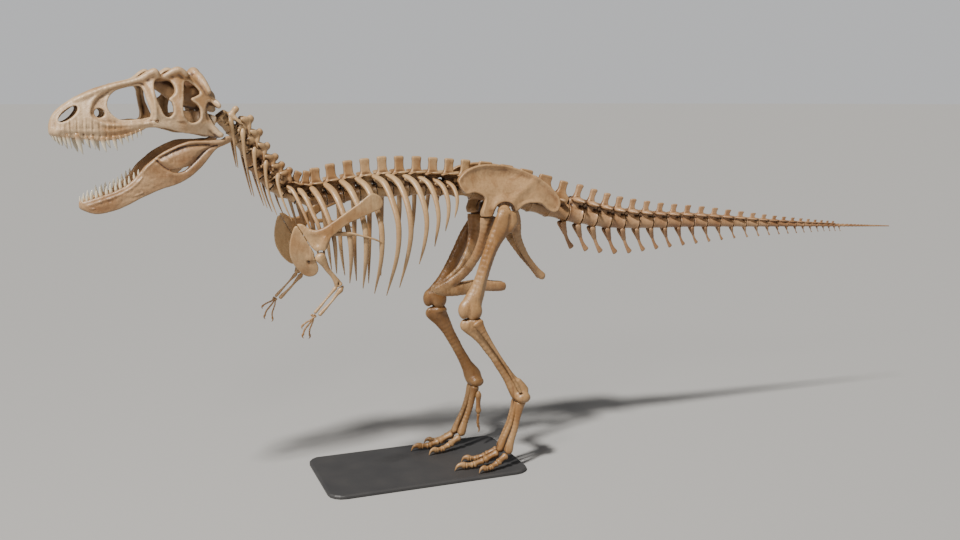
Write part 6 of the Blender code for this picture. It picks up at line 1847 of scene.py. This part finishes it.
def makeFibula(name):
    top, ankle = shinLine(name)
    run = ankle - top
    outer = np.array((0.03, 0.138, 0.012))
    start = top + outer
    end = ankle + (-0.055, 0.135, 0.08)
    clay = Clay(np.minimum(start, end) - (0.11, 0.06, 0.06), np.maximum(start, end) + (0.1, 0.06, 0.06),
        0.0065)
    path = [start, top + run * 0.1 + outer * 0.98, top + run * 0.32 + outer * 0.9, top + run * 0.62 + outer
        * 0.9, end]
    clay.limb(path, legs["outerHalf"], soft=0.015)
    clay.ball(start + (0.0, 0.0, -0.004), (0.072, 0.03, 0.036), 0.02, (0, -22, 0))
    return clay


def footPoints(name, number):
    pose = legs[name]
    ankle = np.array(pose["ankle"])
    spread = legs["spread"][number]
    top = ankle + (-0.025, spread * 0.63, -0.112)
    base = np.array((pose["toe"] + (0.0 if number == 3 else 0.05 + 0.02 * (number == 4)),
        ankle[1] + spread * 0.93, 0.24))
    return top, base


def makeMetatarsal(name, number):
    top, base = footPoints(name, number)
    clay = Clay(np.minimum(top, base) - 0.075, np.maximum(top, base) + 0.075, 0.006)
    path = [top, top + (base - top) * 0.18 + (0.003, 0, 0), (top + base) / 2 + (0.012, 0, 0),
        top + (base - top) * 0.82, base]
    clay.limb(path, legs["metaHalf"], soft=0.012)
    clay.ball(top + (0.0 if number < 4 else 0.012, 0, 0.01), (0.052 if number < 4 else 0.062, 0.04, 0.026),
        0.02)
    for s in (-1, 1):
        clay.ball(base + (-0.004, s * 0.018, -0.01), (0.048, 0.026, 0.046), 0.012)
    clay.ball(base + (-0.045, 0, 0.006), (0.02, 0.012, 0.05), 0.01, carve=True)
    return clay


def makeToe(name, number, side):
    base = footPoints(name, number)[1]
    spread, reach = legs["spread"][number], legs["reach"][number]
    start = base + (-0.036, spread * 0.12, -0.062)
    tip = np.array((start[0] - reach, start[1] + spread * 0.85, 0.062))
    knuckle = start + (tip - start) * 0.33
    knuckle[2] = 0.096
    second = start + (tip - start) * 0.58
    second[2] = 0.056
    third = start + (tip - start) * 0.76
    third[2] = 0.062
    flip = np.array((1, side, 1))
    path = [start, knuckle, second, third, tip]
    half = {2: 1.2, 3: 1.28, 4: 1.12}[number]
    sizes = [(0.04 * half, 0.043 * half), (0.035 * half, 0.036 * half), (0.031 * half, 0.032 * half),
        (0.028 * half, 0.036 * half)]
    return digitSpots([p * flip for p in path], sizes)


hangingToe = {
    "left": ((0.1, -0.02, 0.16), (0.11, -0.02, 0.02), (0.1, -0.02, -0.09), (0.075, -0.015, -0.17)),
    "right": ((0.0, 0, 0.0), (-0.005, -0.005, -0.3), (-0.015, -0.005, -0.46), (0.015, 0.0, -0.58)),
    "half": ((0.036, 0.042), (0.02, 0.022), (0.014, 0.02)),
}


def footMesh(name, jointed, claws):
    finish = bone["legBone"]
    return joinMeshes(name, finish, plantParts(name + "Joints", jointed, phalanx, finish),
        plantParts(name + "Claws", claws, claw, finish))


def makeBones(name, side, slot, finish, *rows):
    for kind, make, *given in rows:
        bonePiece(kind + name.capitalize(), make(*given), slot, finish, "%s_%s" % (kind, name), side)


sides = {"left": -1, "right": 1}
for name, side in sides.items():
    label = name.capitalize()
    bonePiece("ilium" + label, makeIlium(), "hip_bone", "hipBone", "ilium_" + name, side, hollows=16,
        gain=0.95)
    makeBones(name, side, "hip_bone", "hipBone", ("pubis", makePubis), ("ischium", makeIschium))
    makeBones(name, side, "body_bone", "bodyBone", ("scapula", makeScapula), ("coracoid", makeCoracoid),
        ("humerus", makeHumerus, name), ("radius", makeForearm, name, "thin"), ("ulna", makeForearm, name,
        "stout"))
    piece("hand" + label, makeHand(name, side), None, "body_bone", "hand_" + name)
    makeBones(name, side, "leg_bone", "legBone", ("femur", makeFemur, name), ("tibia", makeTibia, name),
        ("fibula", makeFibula, name))
    for number in (2, 3, 4):
        bonePiece("metatarsal%d%s" % (number, label), makeMetatarsal(name, number), "leg_bone", "legBone",
            "metatarsal_%d_%s" % (number, name), side)
        mesh = footMesh("toe%d%s" % (number, label), *makeToe(name, number, side))
        piece("toe%d%s" % (number, label), mesh, None, "leg_bone", "toe_%d_%s" % (number, name))
    ankle = np.array(legs[name]["ankle"])
    thumb = ankle + (0.005, -0.15, -0.16)
    points = [(thumb + p) * (1, side, 1) for p in hangingToe[name]]
    mesh = footMesh("hallux" + label, *digitSpots(points, hangingToe["half"]))
    piece("hallux" + label, mesh, None, "leg_bone", "hallux_" + name)
dropTemplates(phalanx, claw)
print("limbs made")


# stand
def makeBoard():
    mat, tree, shader = newMaterial("standPaint", {})
    where = newNode(tree, "ShaderNodeTexCoord", (-900, 0))
    grain = newNode(tree, "ShaderNodeTexNoise", (-700, 100), {"Scale": 220, "Detail": 3})
    wear = newNode(tree, "ShaderNodeTexNoise", (-700, -150), {"Scale": 2.4, "Detail": 6})
    colour = newNode(tree, "ShaderNodeMix", (-300, 150), {6: (0.03, 0.03, 0.033, 1),
        7: (0.058, 0.056, 0.055, 1)}, data_type="RGBA")
    gloss = newNode(tree, "ShaderNodeMapRange", (-300, -100), {"To Min": 0.42, "To Max": 0.62})
    bump = newNode(tree, "ShaderNodeBump", (-300, -350), {"Strength": 0.3, "Distance": 0.0008})
    wire(tree, (where, "Object", grain, "Vector"), (where, "Object", wear, "Vector"), (wear, "Fac", colour,
        0), (wear, "Fac", gloss, "Value"), (grain, "Fac", bump, "Height"),
        (colour, 2, shader, "Base Color"), (gloss, 0, shader, "Roughness"), (bump, "Normal", shader,
        "Normal"))
    return mat


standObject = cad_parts["stand_base"]
standObject.data.materials.clear()
standObject.data.materials.append(makeBoard())

markRecesses()
print("recesses marked")
for obj, slot, nodes in pieces:
    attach(obj, "root")
    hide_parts(*nodes)
print("pieces ride", len(pieces))

# room
room = {
    "floorReach": 600.0, "floorColour": (0.416, 0.413, 0.408), "sky": (0.97, 0.98, 1.0), "skyPower": 0.16,
    "skySeen": 0.6, "sunFrom": (-0.55, -0.42, 0.95), "sunPower": 5.0, "sunAngle": 6.0,
    "cameraAt": (-5.588, -12.3, 4.948), "yaw": 21.0, "pitch": 9.926, "lens": 37.5,
}


def makeRoom():
    bm = bmesh.new()
    bmesh.ops.create_circle(bm, cap_ends=True, segments=96, radius=room["floorReach"])
    mesh = bpy.data.meshes.new("studioFloor")
    bm.to_mesh(mesh)
    bm.free()
    paint = {"Base Color": (*room["floorColour"], 1), "Roughness": 0.85, "Specular IOR Level": 0.1}
    floor = addObject("studioFloor", mesh, newMaterial("floorPaint", paint)[0])
    world = bpy.data.worlds.new("studio")
    world.use_nodes = True
    tree = world.node_tree
    back = tree.nodes["Background"]
    back.inputs["Color"].default_value = (*room["sky"], 1)
    back.inputs["Strength"].default_value = room["skyPower"]
    # the wall behind is seen brighter than it shines
    seen = newNode(tree, "ShaderNodeBackground", (0, -200), {"Color": (*room["sky"], 1),
        "Strength": room["skySeen"]})
    path = newNode(tree, "ShaderNodeLightPath", (0, 300))
    mix = newNode(tree, "ShaderNodeMixShader", (300, 0))
    wire(tree, (path, "Is Camera Ray", mix, 0), (back, 0, mix, 1), (seen, 0, mix, 2),
        (mix, 0, tree.nodes["World Output"], "Surface"))
    bpy.context.scene.world = world


def addLight(name, at, aim, power, size, colour=(1, 1, 1)):
    lamp = bpy.data.lights.new(name, "AREA")
    lamp.energy = power
    lamp.shape = "DISK"
    lamp.size = size
    lamp.color = colour
    obj = bpy.data.objects.new(name, lamp)
    bpy.context.scene.collection.objects.link(obj)
    obj.location = at
    obj.rotation_euler = (Vector(aim) - Vector(at)).to_track_quat("-Z", "Y").to_euler()


def addSun():
    lamp = bpy.data.lights.new("keyLight", "SUN")
    lamp.energy = room["sunPower"]
    lamp.angle = math.radians(room["sunAngle"])
    lamp.color = (1.0, 0.965, 0.91)
    obj = bpy.data.objects.new("keyLight", lamp)
    bpy.context.scene.collection.objects.link(obj)
    obj.rotation_euler = Vector(room["sunFrom"]).to_track_quat("Z", "Y").to_euler()


makeRoom()
addSun()
addLight("headLight", (-9.0, -7.5, 9.5), (-3.6, 0, 4.3), 450, 2.0, (1.0, 0.95, 0.88))

lens = bpy.data.cameras.new("viewCamera")
lens.lens = room["lens"]
lens.sensor_width = 36.0
lens.clip_end = 1300.0
camera = bpy.data.objects.new("viewCamera", lens)
bpy.context.scene.collection.objects.link(camera)
camera.location = room["cameraAt"]
camera.rotation_euler = (math.radians(90 - room["pitch"]), 0, math.radians(-room["yaw"]))
bpy.context.scene.camera = camera
